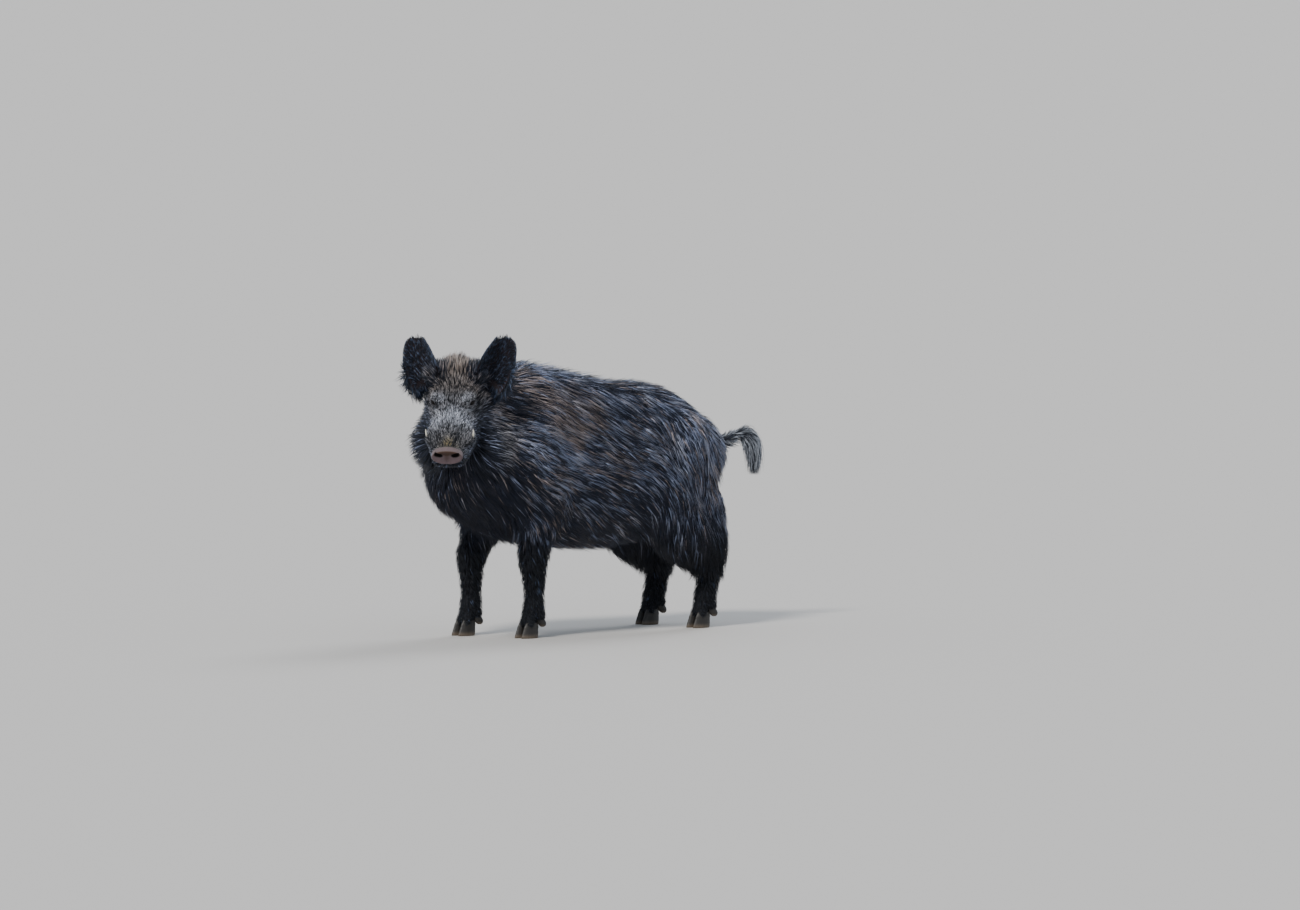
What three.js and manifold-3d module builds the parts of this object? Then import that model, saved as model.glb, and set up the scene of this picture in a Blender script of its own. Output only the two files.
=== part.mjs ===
// Adult wild boar in its winter coat, standing still, with its head lowered and
// turned to its left and its tail held out. Lengths are millimetres and +Z is up.
// The dimensions below are in the body frame: +X is the animal's left, -Y is
// ahead of it and FLOOR is the height of the ground. The coat is part of every
// solid: a solid's face is the skin moved out by the depth of the hair there.

import * as THREE from 'three';
import Module from 'manifold-3d';

const wasm = await Module();
wasm.setup();

const { clamp, lerp, degToRad, smoothstep } = THREE.MathUtils;

// Gap on each side of a cut between two pieces.
const HALF_GAP = 0.2;

const FLOOR = -35;
// A length beyond the whole animal.
const FAR = 900;

// Facet sizes.
const TRUNK_CELL = 62;
const HEAD_CELL = 25;
const LEG_CELL = 40;
const FOOT_CELL = 27;

// Trunk sections along Y: place, half width, top, bottom, depth of the coat on
// the flank, depth of the coat on the crest of the back.
const TRUNK = [
  [-390, 112, 668, 350, 26, 34],
  [-300, 138, 712, 288, 28, 42],
  [-200, 146, 729, 262, 28, 44],
  [-60, 150, 709, 246, 28, 40],
  [100, 154, 680, 240, 28, 30],
  [230, 148, 673, 262, 28, 28],
  [320, 134, 654, 306, 28, 26],
  [390, 114, 618, 352, 26, 24],
  [440, 88, 578, 390, 24, 22]
];
// How much narrower a trunk section is at its top than at its middle.
const TRUNK_TAPER = 0.2;
const TRUNK_BLEND = 45;
// The box of the body frame that holds the trunk and the neck.
const TRUNK_LOW = [-260, -700, 160];
const TRUNK_HIGH = [300, 620, 880];

// The head's own frame sits between the eyes: forward, left, up.
const EYES_MIDDLE = [128, -571, 675];
const HEAD_TURN = 44;
const HEAD_PITCH = 34;

// Head sections along its forward axis, as for the trunk.
const HEAD = [
  [-120, 76, 45, -140, 20, 25],
  [-70, 78, 45, -146, 15, 19],
  [-20, 77, 26, -142, 11, 8],
  [30, 68, 11, -126, 8, 6],
  [90, 53, 6, -108, 6, 5],
  [150, 47, -1, -92, 5, 4],
  [205, 39, -8, -68, 3, 3]
];
const HEAD_TAPER = 0.28;
const HEAD_BLEND = 22;
// The box of the head's frame that holds the head.
const HEAD_LOW = [-265, -235, -300];
const HEAD_HIGH = [262, 235, 130];

// Soft masses of the head, mirrored: forward, left, up, three radii, coat.
const HEAD_MASSES = [
  { at: [-18, 69, -156], radii: [62, 36, 52], coat: 36 },
  { at: [-14, 39, 11], radii: [34, 24, 17], coat: 5 },
  { at: [120, 46, -34], radii: [46, 20, 27], coat: 6 },
  { at: [-106, 46, 22], radii: [32, 38, 32], coat: 16 }
];
// The lower jaw, along its own bone, and the beard below it.
const JAW = [
  [20, 0, -108, 34, 14],
  [186, 0, -66, 20, 8]
];
const JAW_SPREAD = 26;

// Where the head is parted from the neck, and the muzzle and the jaw from the head.
const NAPE_AT = [52, -490, 690];
const NAPE_TURN = 26;
const NAPE_PITCH = 12;
const HEAD_FLOOR = -180;
const MUZZLE_BACK = 92;
const JAW_BACK = 34;
const MOUTH_LINE = -68;

// Neck, from the trunk to the head: each end as place, radius and coat.
const NECK = [
  { from: [0, -270, 610], to: [42, -455, 662], radii: [118, 86], coat: [38, 24] },
  { from: [0, -320, 480], to: [44, -450, 560], radii: [128, 86], coat: [30, 32] },
  { from: [0, -330, 420], to: [6, -408, 440], radii: [98, 82], coat: [28, 30] }
];
const NECK_BLEND = 60;
// The neck ends at a plane through this place that leans back by this angle.
const NECK_FOOT = [0, -470, 330];
const NECK_LEAN = 22;

// Legs: joints from the top down as X, Y, Z, radius and coat depth, for the
// left side; the right side has X mirrored and its own stride.
const FORE_LEG = [
  [96, -285, 510, 104, 28],
  [104, -210, 392, 64, 24],
  [101, -232, 300, 49, 18],
  [99, -244, 195, 34, 13],
  [99, -240, 125, 25, 9],
  [99, -240, 58, 26, 7],
  [99, -258, 17, 24, 4]
];
const HIND_LEG = [
  [74, 300, 500, 110, 28],
  [100, 240, 365, 88, 28],
  [102, 324, 250, 60, 32],
  [99, 434, 174, 36, 20],
  [99, 429, 112, 26, 11],
  [99, 417, 60, 27, 8],
  [99, 400, 17, 24, 4]
];
const HAMSTRING = [
  [78, 372, 470, 72, 26],
  [97, 440, 232, 36, 22]
];
// The lateral thickness of a leg as a share of its depth.
const LEG_FLATNESS = 0.86;
const LEG_BLEND = 34;
// How far forward of the left foot the right foot stands.
const FORE_STRIDE = 76;
const HIND_STRIDE = 30;

// Heights at which the legs are parted, and the space round each leg.
const FORE_CUTS = [368, 190, 62];
const HIND_CUTS = [420, 262, 150, 62];
const FORE_REACH = [-400, -112];
const HIND_REACH = [80, 560];
const LEG_INNER = 34;
const LEG_OUTER = 320;
const LEG_MARGIN = 40;
const LEG_OVERLAP = 60;

// Claws: a flat sole, narrower ahead, with walls that lean in and back above it.
const CLAW_LEVELS = [0, 0.5, 1];
const CLAW_SHRINK = 0.3;
const CLAW_POINT = 0.35;
const CLAW_SLOPE = 0.16;
const SOLE_LENGTH = 62;
const SOLE_WIDTH = 27;
const CLAW_HEIGHT = 46;
const CLAW_SPACING = 30.5;
const DEWCLAW_SIZE = [32, 18, 28];
const DEWCLAW_FOOT = 32;
const DEWCLAW_BACK = 31;
const DEWCLAW_APART = 38;
const FOOT_AHEAD = 12;

// Ears, in the head's frame. The fringe is the hair beyond the ear's edge.
const EAR_ROOT_LEFT = [-98, 82, 2];
const EAR_ROOT_RIGHT = [-98, -70, 2];
const EAR_TIP_LEFT = [-122, 158, 146];
const EAR_TIP_RIGHT = [-122, -120, 146];
const EAR_OPENING = [0.93, 0.28, 0.2];
const EAR_HALF_WIDTH = 47;
const EAR_FRINGE = 8;
const EAR_HALF_THICKNESS = 6.5;
const EAR_BEND = 14;
// Half the angle that the ear's cup wraps round, in degrees, and the share of its
// outline at which the rounded tip is closed.
const EAR_WRAP_ROOT = 88;
const EAR_WRAP_TIP = 52;
const EAR_BLUNTNESS = 0.97;
// Where the ear's outline starts on its arch, how square its arch is, and how
// much thinner the ear is at its edge.
const EAR_ARCH_START = 0.28;
const EAR_ARCH_POWER = 0.36;
const EAR_EDGE_THINNING = 0.55;
const EAR_ROWS = 8;
const EAR_COLUMNS = 4;

// Eyes, tusks and snout disc, in the head's frame.
const EYE_AT = [9, 53, 7];
const EYE_RADIUS = 12;
const TUSK_PATH = [[108, 48, -64], [122, 60, -47], [129, 68, -25], [127, 70, -4]];
const TUSK_RADII = [7, 6.5, 5, 1.5];
const DISC_BACK = 210;
const DISC_FRONT = 232;
const DISC_MIDDLE = -30;
const DISC_HALF_WIDTH = 46;
const DISC_HALF_HEIGHT = 25.5;
// The disc's outline from its back to its face, as shares of its width and depth.
const DISC_PROFILE = [[0, 0], [0.86, 0], [0.97, 0.35], [1, 0.72], [0.94, 0.95], [0.82, 1], [0, 0.9]];
const NOSTRIL_AT = [25, -22];
const NOSTRIL_RADII = [14, 11, 6];

// Tail: the flesh, then the switch of long hair that hangs from it.
const TAIL_PATH = [[0, 470, 484], [2, 545, 494], [4, 592, 512], [6, 625, 524]];
const TAIL_RADII = [26, 20, 16, 13];
const SWITCH_PATH = [[6, 616, 523], [8, 650, 522], [10, 673, 492], [10, 681, 446], [10, 681, 398]];
const SWITCH_RADII = [15, 25, 25, 19, 6];

const TUBE_SIDES = 8;
const TUSK_STEPS = 6;
const TAIL_STEPS = 8;
const CLAW_SIDES = 8;
const DISC_SIDES = 18;
const EYE_SIDES = [10, 7];
const NOSTRIL_SIDES = [8, 6];

const LOOKS = {
  coat: { color: 0x1d1c1f, roughness: 0.85 },
  grizzle: { color: 0x4a4541, roughness: 0.85 },
  snout: { color: 0x8a7478, roughness: 0.5 },
  eye: { color: 0x120c09, roughness: 0.12 },
  tusk: { color: 0xe4dcc4, roughness: 0.3 },
  horn: { color: 0x2a2522, roughness: 0.45 }
};

// ---------------------------------------------------------------- head frame

// A frame of forward, left and up at a place, turned left and pitched down.
function aimedFrame(place, turnDegrees, pitchDegrees) {
  const turn = degToRad(turnDegrees);
  const pitch = degToRad(pitchDegrees);
  const forward = new THREE.Vector3(
    Math.sin(turn) * Math.cos(pitch),
    -Math.cos(turn) * Math.cos(pitch),
    -Math.sin(pitch)
  );
  const leftward = new THREE.Vector3(Math.cos(turn), Math.sin(turn), 0);
  const upward = new THREE.Vector3().crossVectors(forward, leftward);
  return new THREE.Matrix4().makeBasis(forward, leftward, upward).setPosition(...place);
}

const headFrame = aimedFrame(EYES_MIDDLE, HEAD_TURN, HEAD_PITCH);
const bodyFrame = new THREE.Matrix4();
const intoHead = headFrame.clone().invert();

// ------------------------------------------------------- distance functions
// Each gives the distance to the skin, below zero inside it, and the depth of
// the coat over it.

function join(a, b, radius) {
  const share = clamp(0.5 + (b.distance - a.distance) / (2 * radius), 0, 1);
  return {
    distance: lerp(b.distance, a.distance, share) - radius * share * (1 - share),
    coat: lerp(b.coat, a.coat, share)
  };
}

// A row of sections at a place between them, on a smooth curve.
function section(rows, place) {
  let i = 0;
  while (i < rows.length - 2 && place > rows[i + 1][0]) i += 1;
  const before = rows[Math.max(i - 1, 0)];
  const here = rows[i];
  const next = rows[i + 1];
  const after = rows[Math.min(i + 2, rows.length - 1)];
  const span = next[0] - here[0];
  const t = (place - here[0]) / span;
  return here.slice(1).map((value, index) => {
    const column = index + 1;
    const slopeHere = (next[column] - before[column]) / (next[0] - before[0]);
    const slopeNext = (after[column] - value) / (after[0] - here[0]);
    const rise = next[column] - value;
    const bend = t * (1 - t);
    return value + rise * t * t * (3 - 2 * t)
      + span * bend * ((1 - t) * slopeHere - t * slopeNext);
  });
}

function loft(rows, taper, along, side, up) {
  const at = clamp(along, rows[0][0], rows[rows.length - 1][0]);
  const [halfWidth, top, bottom, flankCoat, crestCoat] = section(rows, at);
  const halfHeight = (top - bottom) / 2;
  const level = (up - (top + bottom) / 2) / halfHeight;
  const width = halfWidth * (1 - taper * clamp(level, -1, 1));
  const scaled = Math.hypot(side / width, level);
  const slope = Math.hypot(side / width ** 2, level / halfHeight);
  const round = Math.min(width, halfHeight);
  const ring = slope > 0 ? scaled * (scaled - 1) / slope : -round;
  return {
    distance: Math.hypot(Math.max(ring + round, 0), along - at) - round,
    coat: lerp(flankCoat, crestCoat, smoothstep(level, 0.3, 1))
  };
}

function ellipsoid(x, y, z, mass) {
  const [a, b, c] = mass.radii;
  const dx = x - mass.at[0];
  const dy = y - mass.at[1];
  const dz = z - mass.at[2];
  const scaled = Math.hypot(dx / a, dy / b, dz / c);
  const slope = Math.hypot(dx / a ** 2, dy / b ** 2, dz / c ** 2);
  const distance = slope > 0 ? scaled * (scaled - 1) / slope : -Math.min(a, b, c);
  return { distance, coat: mass.coat };
}

function limb(x, y, z, from, to, radii, coats, flatness) {
  const dx = to[0] - from[0];
  const dy = to[1] - from[1];
  const dz = to[2] - from[2];
  const dot = (x - from[0]) * dx + (y - from[1]) * dy + (z - from[2]) * dz;
  const t = clamp(dot / (dx * dx + dy * dy + dz * dz), 0, 1);
  const side = (x - from[0] - t * dx) / flatness;
  const reach = Math.hypot(side, y - from[1] - t * dy, z - from[2] - t * dz);
  return { distance: reach - lerp(radii[0], radii[1], t), coat: lerp(coats[0], coats[1], t) };
}

function chain(x, y, z, joints, flatness, radius) {
  let found = null;
  for (let i = 0; i + 1 < joints.length; i += 1) {
    const [a, b] = [joints[i], joints[i + 1]];
    const piece = limb(x, y, z, a, b, [a[3], b[3]], [a[4], b[4]], flatness);
    found = found ? join(found, piece, radius) : piece;
  }
  return found;
}

// A right leg is the left one mirrored, with the foot moved along by the stride.
function legJoints(joints, side, stride) {
  const top = joints[0][2];
  return joints.map(([x, y, z, radius, coat]) => {
    const share = side < 0 ? smoothstep(top - z, 60, top - 150) : 0;
    return [side * x, y - stride * share, z, radius, coat];
  });
}

const LEGS = [];
for (const side of [1, -1]) {
  LEGS.push(legJoints(FORE_LEG, side, FORE_STRIDE));
  LEGS.push(legJoints(HIND_LEG, side, HIND_STRIDE));
  LEGS.push(legJoints(HAMSTRING, side, HIND_STRIDE / 2));
}

function headField(f, l, u) {
  let found = loft(HEAD, HEAD_TAPER, f, l, u);
  for (const mass of HEAD_MASSES) {
    found = join(found, ellipsoid(f, Math.abs(l), u, mass), HEAD_BLEND);
  }
  const bone = chain(f, Math.max(Math.abs(l) - JAW_SPREAD, 0), u, JAW, 1, 1);
  return join(found, bone, HEAD_BLEND);
}

const local = new THREE.Vector3();
function field(x, y, z) {
  let found = loft(TRUNK, TRUNK_TAPER, y, x, z);
  for (const leg of LEGS) {
    found = join(found, chain(x, y, z, leg, LEG_FLATNESS, LEG_BLEND / 2), LEG_BLEND);
  }
  let neck = null;
  for (const piece of NECK) {
    const length = limb(x, y, z, piece.from, piece.to, piece.radii, piece.coat, 1);
    neck = neck ? join(neck, length, NECK_BLEND) : length;
  }
  found = join(found, neck, NECK_BLEND);
  local.set(x, y, z).applyMatrix4(intoHead);
  return join(found, headField(local.x, local.y, local.z), TRUNK_BLEND);
}

const coatSurface = (x, y, z) => {
  const { distance, coat } = field(x, y, z);
  return distance - coat;
};

// ------------------------------------------------------------------ meshing

const toSolid = (points, triangles) => new wasm.Manifold(new wasm.Mesh({
  numProp: 3,
  vertProperties: new Float32Array(points.flat()),
  triVerts: new Uint32Array(triangles.flat())
}));

// Moves a point onto the surface along the steepest way there.
function settle(point, steps) {
  const reach = 0.5;
  for (let i = 0; i < steps; i += 1) {
    const [x, y, z] = point;
    const value = coatSurface(x, y, z);
    const slope = [
      (coatSurface(x + reach, y, z) - value) / reach,
      (coatSurface(x, y + reach, z) - value) / reach,
      (coatSurface(x, y, z + reach) - value) / reach
    ];
    const square = slope[0] ** 2 + slope[1] ** 2 + slope[2] ** 2;
    for (let k = 0; k < 3; k += 1) point[k] -= value * slope[k] / square;
  }
}

// A closed mesh of the coat's surface inside a box of a frame, by surface nets:
// one point in each cell that the surface passes, joined across the cell edges.
function netSolid(frame, low, high, cell) {
  const counts = low.map((v, k) => Math.ceil((high[k] - v) / cell) + 1);
  const [nx, ny, nz] = counts;
  const index = (i, j, k) => (i * ny + j) * nz + k;
  const values = new Float64Array(nx * ny * nz);
  const corner = new THREE.Vector3();
  const place = (i, j, k) => corner
    .set(low[0] + i * cell, low[1] + j * cell, low[2] + k * cell)
    .applyMatrix4(frame);
  for (let i = 0; i < nx; i += 1) {
    for (let j = 0; j < ny; j += 1) {
      for (let k = 0; k < nz; k += 1) {
        const rim = i % (nx - 1) === 0 || j % (ny - 1) === 0 || k % (nz - 1) === 0;
        place(i, j, k);
        values[index(i, j, k)] = rim ? cell : coatSurface(corner.x, corner.y, corner.z);
      }
    }
  }
  const steps = [[1, 0, 0], [0, 1, 0], [0, 0, 1]];
  const corners = [0, 1, 2, 3, 4, 5, 6, 7].map((n) => [n >> 2, (n >> 1) & 1, n & 1]);
  const points = [];
  const pointOf = new Map();
  const netPoint = (i, j, k) => {
    const key = index(i, j, k);
    if (pointOf.has(key)) return pointOf.get(key);
    const sum = new THREE.Vector3();
    let crossings = 0;
    for (const [a, b, c] of corners) {
      for (const [da, db, dc] of steps) {
        if (a + da > 1 || b + db > 1 || c + dc > 1) continue;
        const here = values[index(i + a, j + b, k + c)];
        const there = values[index(i + a + da, j + b + db, k + c + dc)];
        if (here < 0 === there < 0) continue;
        const t = here / (here - there);
        sum.add(new THREE.Vector3(a + da * t, b + db * t, c + dc * t));
        crossings += 1;
      }
    }
    sum.divideScalar(crossings);
    const at = place(i + sum.x, j + sum.y, k + sum.z).toArray();
    if (Math.abs(coatSurface(...at)) < cell / 2) settle(at, 2);
    points.push(at);
    pointOf.set(key, points.length - 1);
    return points.length - 1;
  };
  const apart = (a, b) => Math.hypot(...points[a].map((v, n) => v - points[b][n]));
  const triangles = [];
  for (let i = 1; i < nx - 1; i += 1) {
    for (let j = 1; j < ny - 1; j += 1) {
      for (let k = 1; k < nz - 1; k += 1) {
        for (let axis = 0; axis < 3; axis += 1) {
          const at = [i, j, k];
          for (const down of [0, 1]) {
            const base = at.map((v, n) => v - down * steps[axis][n]);
            const tip = base.map((v, n) => v + steps[axis][n]);
            if (down === 1 && base[axis] > 0) continue;
            const inside = values[index(...base)] < 0;
            if (inside === values[index(...tip)] < 0) continue;
            const b = steps[(axis + 1) % 3];
            const c = steps[(axis + 2) % 3];
            const quad = [[0, 0], [1, 0], [1, 1], [0, 1]].map(([m, n]) => netPoint(
              base[0] - m * b[0] - n * c[0],
              base[1] - m * b[1] - n * c[1],
              base[2] - m * b[2] - n * c[2]
            ));
            if (!inside) quad.reverse();
            const [p, q, r, s] = quad;
            if (apart(p, r) < apart(q, s)) triangles.push([p, q, r], [p, r, s]);
            else triangles.push([p, q, s], [q, r, s]);
          }
        }
      }
    }
  }
  return toSolid(points, triangles);
}

// A closed solid through rings of points, each end closed across its ring.
function ringSolid(rings) {
  const sides = rings[0].length;
  const points = rings.flat().map((v) => v.toArray());
  const triangles = [];
  for (let r = 0; r + 1 < rings.length; r += 1) {
    for (let i = 0; i < sides; i += 1) {
      const a = r * sides + i;
      const b = r * sides + (i + 1) % sides;
      triangles.push([a, b, b + sides], [a, b + sides, a + sides]);
    }
  }
  const last = (rings.length - 1) * sides;
  for (let i = 0; i < sides / 2 - 1; i += 1) {
    const [a, b, c, d] = [i, i + 1, sides - 2 - i, sides - 1 - i];
    triangles.push([b, a, d], [last + a, last + b, last + d]);
    if (b !== c) triangles.push([b, d, c], [last + b, last + c, last + d]);
  }
  const solid = toSolid(points, triangles);
  if (solid.volume() > 0) return solid;
  return toSolid(points, triangles.map(([a, b, c]) => [a, c, b]));
}

// A tube with a changing radius along a smooth curve, grown all round by more.
function taperedTube(frame, path, radii, more, count) {
  const curve = new THREE.CatmullRomCurve3(
    path.map((p) => new THREE.Vector3(...p).applyMatrix4(frame))
  );
  const frames = curve.computeFrenetFrames(count);
  const rings = [];
  for (let i = 0; i <= count; i += 1) {
    const t = i / count;
    const slot = Math.min(Math.floor(t * (radii.length - 1)), radii.length - 2);
    const radius = lerp(radii[slot], radii[slot + 1], t * (radii.length - 1) - slot) + more;
    const middle = curve.getPoint(t);
    const ring = [];
    for (let k = 0; k < TUBE_SIDES; k += 1) {
      const angle = 2 * Math.PI * k / TUBE_SIDES;
      ring.push(middle.clone()
        .addScaledVector(frames.normals[i], radius * Math.cos(angle))
        .addScaledVector(frames.binormals[i], radius * Math.sin(angle)));
    }
    rings.push(ring);
  }
  return ringSolid(rings);
}

function fromGeometry(geometry, matrix) {
  const points = [];
  const seen = new Map();
  const position = geometry.getAttribute('position');
  const vertex = new THREE.Vector3();
  const slots = [];
  for (let i = 0; i < position.count; i += 1) {
    vertex.fromBufferAttribute(position, i).applyMatrix4(matrix);
    const key = vertex.toArray().map((v) => v.toFixed(3)).join();
    if (!seen.has(key)) {
      seen.set(key, points.length);
      points.push(vertex.toArray());
    }
    slots.push(seen.get(key));
  }
  const triangles = [];
  const order = geometry.getIndex();
  for (let i = 0; i < order.count; i += 3) {
    const [a, b, c] = [0, 1, 2].map((n) => slots[order.getX(i + n)]);
    if (a !== b && b !== c && a !== c) triangles.push([a, b, c]);
  }
  return toSolid(points, triangles);
}

// A box of a frame from its lowest to its highest corner, grown by more.
function box(frame, low, high, more) {
  const size = low.map((v, k) => high[k] - v + 2 * more);
  const middle = low.map((v, k) => (v + high[k]) / 2);
  const matrix = frame.clone().multiply(new THREE.Matrix4().makeTranslation(...middle));
  return fromGeometry(new THREE.BoxGeometry(...size), matrix);
}

// The largest of the bodies that a cut leaves.
function mainBody(solid) {
  return solid.decompose().reduce((a, b) => (b.volume() > a.volume() ? b : a));
}

// ------------------------------------------------------------------- pieces

const boar = new THREE.Group();

function addPiece(name, solid, look) {
  const mesh = mainBody(solid).getMesh();
  const geometry = new THREE.BufferGeometry();
  geometry.setAttribute('position', new THREE.BufferAttribute(mesh.vertProperties, 3));
  geometry.setIndex(new THREE.BufferAttribute(mesh.triVerts, 1));
  geometry.computeVertexNormals();
  const piece = new THREE.Mesh(geometry, new THREE.MeshStandardMaterial(LOOKS[look]));
  piece.name = name;
  boar.add(piece);
}

const sideName = (side) => (side > 0 ? 'left' : 'right');

// ---- ears, eyes, tusks and snout disc, each also made a little larger to cut
// its seat in the piece that it grows from.

function earShape(t) {
  return Math.sin(Math.PI * lerp(EAR_ARCH_START, 1, t)) ** EAR_ARCH_POWER;
}

function ear(side, more) {
  const root = new THREE.Vector3(...(side > 0 ? EAR_ROOT_LEFT : EAR_ROOT_RIGHT));
  const tip = new THREE.Vector3(...(side > 0 ? EAR_TIP_LEFT : EAR_TIP_RIGHT));
  const axis = tip.clone().sub(root);
  const length = axis.length();
  axis.normalize();
  const opening = new THREE.Vector3(EAR_OPENING[0], side * EAR_OPENING[1], EAR_OPENING[2]);
  opening.addScaledVector(axis, -opening.dot(axis)).normalize();
  const across = new THREE.Vector3().crossVectors(axis, opening);
  const rings = [];
  for (let row = 0; row <= EAR_ROWS; row += 1) {
    const t = EAR_BLUNTNESS * row / EAR_ROWS;
    const wrap = degToRad(lerp(EAR_WRAP_ROOT, EAR_WRAP_TIP, t));
    const bow = (EAR_HALF_WIDTH + EAR_FRINGE) * earShape(t) / Math.sin(wrap);
    const along = length * t + more * (2 * row / EAR_ROWS - 1);
    const ring = [];
    for (const face of [1, -1]) {
      for (let column = 0; column <= EAR_COLUMNS; column += 1) {
        const s = face * (1 - 2 * column / EAR_COLUMNS);
        const thickness = EAR_HALF_THICKNESS * (1 - EAR_EDGE_THINNING * s * s) + more;
        const reach = bow + face * thickness;
        const angle = (wrap + more / bow) * s;
        ring.push(root.clone()
          .addScaledVector(axis, along)
          .addScaledVector(across, reach * Math.sin(angle))
          .addScaledVector(opening, bow - reach * Math.cos(angle) - EAR_BEND * t * t)
          .applyMatrix4(headFrame));
      }
    }
    rings.push(ring);
  }
  return ringSolid(rings);
}

function eye(side, more) {
  const at = new THREE.Vector3(EYE_AT[0], side * EYE_AT[1], EYE_AT[2]).applyMatrix4(headFrame);
  const matrix = new THREE.Matrix4().makeTranslation(at.x, at.y, at.z);
  return fromGeometry(new THREE.SphereGeometry(EYE_RADIUS + more, ...EYE_SIDES), matrix);
}

function tusk(side, more) {
  const path = TUSK_PATH.map(([f, l, u]) => [f, side * l, u]);
  return taperedTube(headFrame, path, TUSK_RADII, more, TUSK_STEPS);
}

// The disc of the snout: a low dome with a rounded rim and two nostrils.
function snoutDisc() {
  const depth = DISC_FRONT - DISC_BACK - 2 * HALF_GAP;
  const outline = DISC_PROFILE.map(([r, z]) => new THREE.Vector2(r * DISC_HALF_WIDTH, z * depth));
  const geometry = new THREE.LatheGeometry(outline, DISC_SIDES);
  const ratio = DISC_HALF_HEIGHT / DISC_HALF_WIDTH;
  const matrix = headFrame.clone().multiply(new THREE.Matrix4().set(
    0, 1, 0, DISC_BACK + 2 * HALF_GAP,
    1, 0, 0, 0,
    0, 0, -ratio, DISC_MIDDLE,
    0, 0, 0, 1
  ));
  let solid = fromGeometry(geometry, matrix);
  for (const side of [1, -1]) {
    const nostril = headFrame.clone()
      .multiply(new THREE.Matrix4().makeTranslation(DISC_FRONT, side * NOSTRIL_AT[0], NOSTRIL_AT[1]))
      .multiply(new THREE.Matrix4().makeScale(...NOSTRIL_RADII));
    solid = solid.subtract(fromGeometry(new THREE.SphereGeometry(1, ...NOSTRIL_SIDES), nostril));
  }
  return solid;
}

// ---- tail

const tail = (more) => taperedTube(bodyFrame, TAIL_PATH, TAIL_RADII, more, TAIL_STEPS);

// ---- head, muzzle, jaw, neck and trunk, parted from one surface

const napeFrame = aimedFrame(NAPE_AT, NAPE_TURN, NAPE_PITCH);
const headWhole = netSolid(headFrame, HEAD_LOW, HEAD_HIGH, HEAD_CELL);
const headBox = (more) => box(napeFrame, [0, -FAR, HEAD_FLOOR], [FAR, FAR, FAR], more);
const jawBox = (more) => box(headFrame, [JAW_BACK, -FAR, -FAR], [FAR, FAR, MOUTH_LINE], more);
const muzzleBox = (more) => box(headFrame, [MUZZLE_BACK, -FAR, MOUTH_LINE], [FAR, FAR, FAR], more);
const discBox = box(headFrame, [DISC_BACK, -FAR, -FAR], [FAR, FAR, FAR], 0);

let head = headWhole.intersect(headBox(-HALF_GAP));
let jaw = head.intersect(jawBox(-HALF_GAP)).subtract(discBox);
let muzzle = head.intersect(muzzleBox(-HALF_GAP)).subtract(discBox);
head = head.subtract(jawBox(HALF_GAP)).subtract(muzzleBox(HALF_GAP));

for (const side of [1, -1]) {
  const seat = tusk(side, 2 * HALF_GAP);
  muzzle = muzzle.subtract(seat);
  jaw = jaw.subtract(seat);
  head = head.subtract(seat).subtract(ear(side, 2 * HALF_GAP)).subtract(eye(side, 2 * HALF_GAP));
}
addPiece('head', head, 'grizzle');
addPiece('muzzle', muzzle, 'grizzle');
addPiece('lower_jaw', jaw, 'coat');
addPiece('snout_disc', snoutDisc(), 'snout');

const whole = netSolid(bodyFrame, TRUNK_LOW, TRUNK_HIGH, TRUNK_CELL);

// The neck lies ahead of a plane that leans from the withers to the brisket.
const neckFrame = new THREE.Matrix4()
  .makeRotationX(degToRad(-NECK_LEAN))
  .setPosition(...NECK_FOOT);
const neckBox = (more) => box(neckFrame, [-FAR, -FAR, -FAR], [FAR, 0, FAR], more);
let neck = whole.intersect(neckBox(-HALF_GAP)).subtract(headBox(HALF_GAP));
let trunk = whole.subtract(neckBox(HALF_GAP)).subtract(headBox(HALF_GAP));

for (const side of [1, -1]) {
  neck = neck.subtract(ear(side, 2 * HALF_GAP));
  addPiece(`${sideName(side)}_ear`, ear(side, 0), 'coat');
  addPiece(`${sideName(side)}_eye`, eye(side, 0), 'eye');
  addPiece(`${sideName(side)}_tusk`, tusk(side, 0), 'tusk');
}
addPiece('neck', neck, 'coat');

// ---- legs

// A claw: a horn shoe on a flat sole, pointed ahead and sloping back.
function claw(x, y, foot, [length, width, height], more) {
  const rings = CLAW_LEVELS.map((level) => {
    const shrink = 1 - CLAW_SHRINK * level ** 1.5;
    const slide = CLAW_SLOPE * length * level;
    const ring = [];
    for (let i = 0; i < CLAW_SIDES; i += 1) {
      const angle = Math.PI * 2 * (i + 0.5) / CLAW_SIDES;
      const ahead = Math.cos(angle);
      const narrow = ahead > 0 ? 1 - CLAW_POINT * ahead * ahead : 1;
      ring.push(new THREE.Vector3(
        x + (width / 2 * shrink + more) * Math.sin(angle) * narrow,
        y - (length / 2 * shrink + more) * ahead + slide,
        foot + level * height
      ));
    }
    return ring;
  });
  return ringSolid(rings);
}

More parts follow.
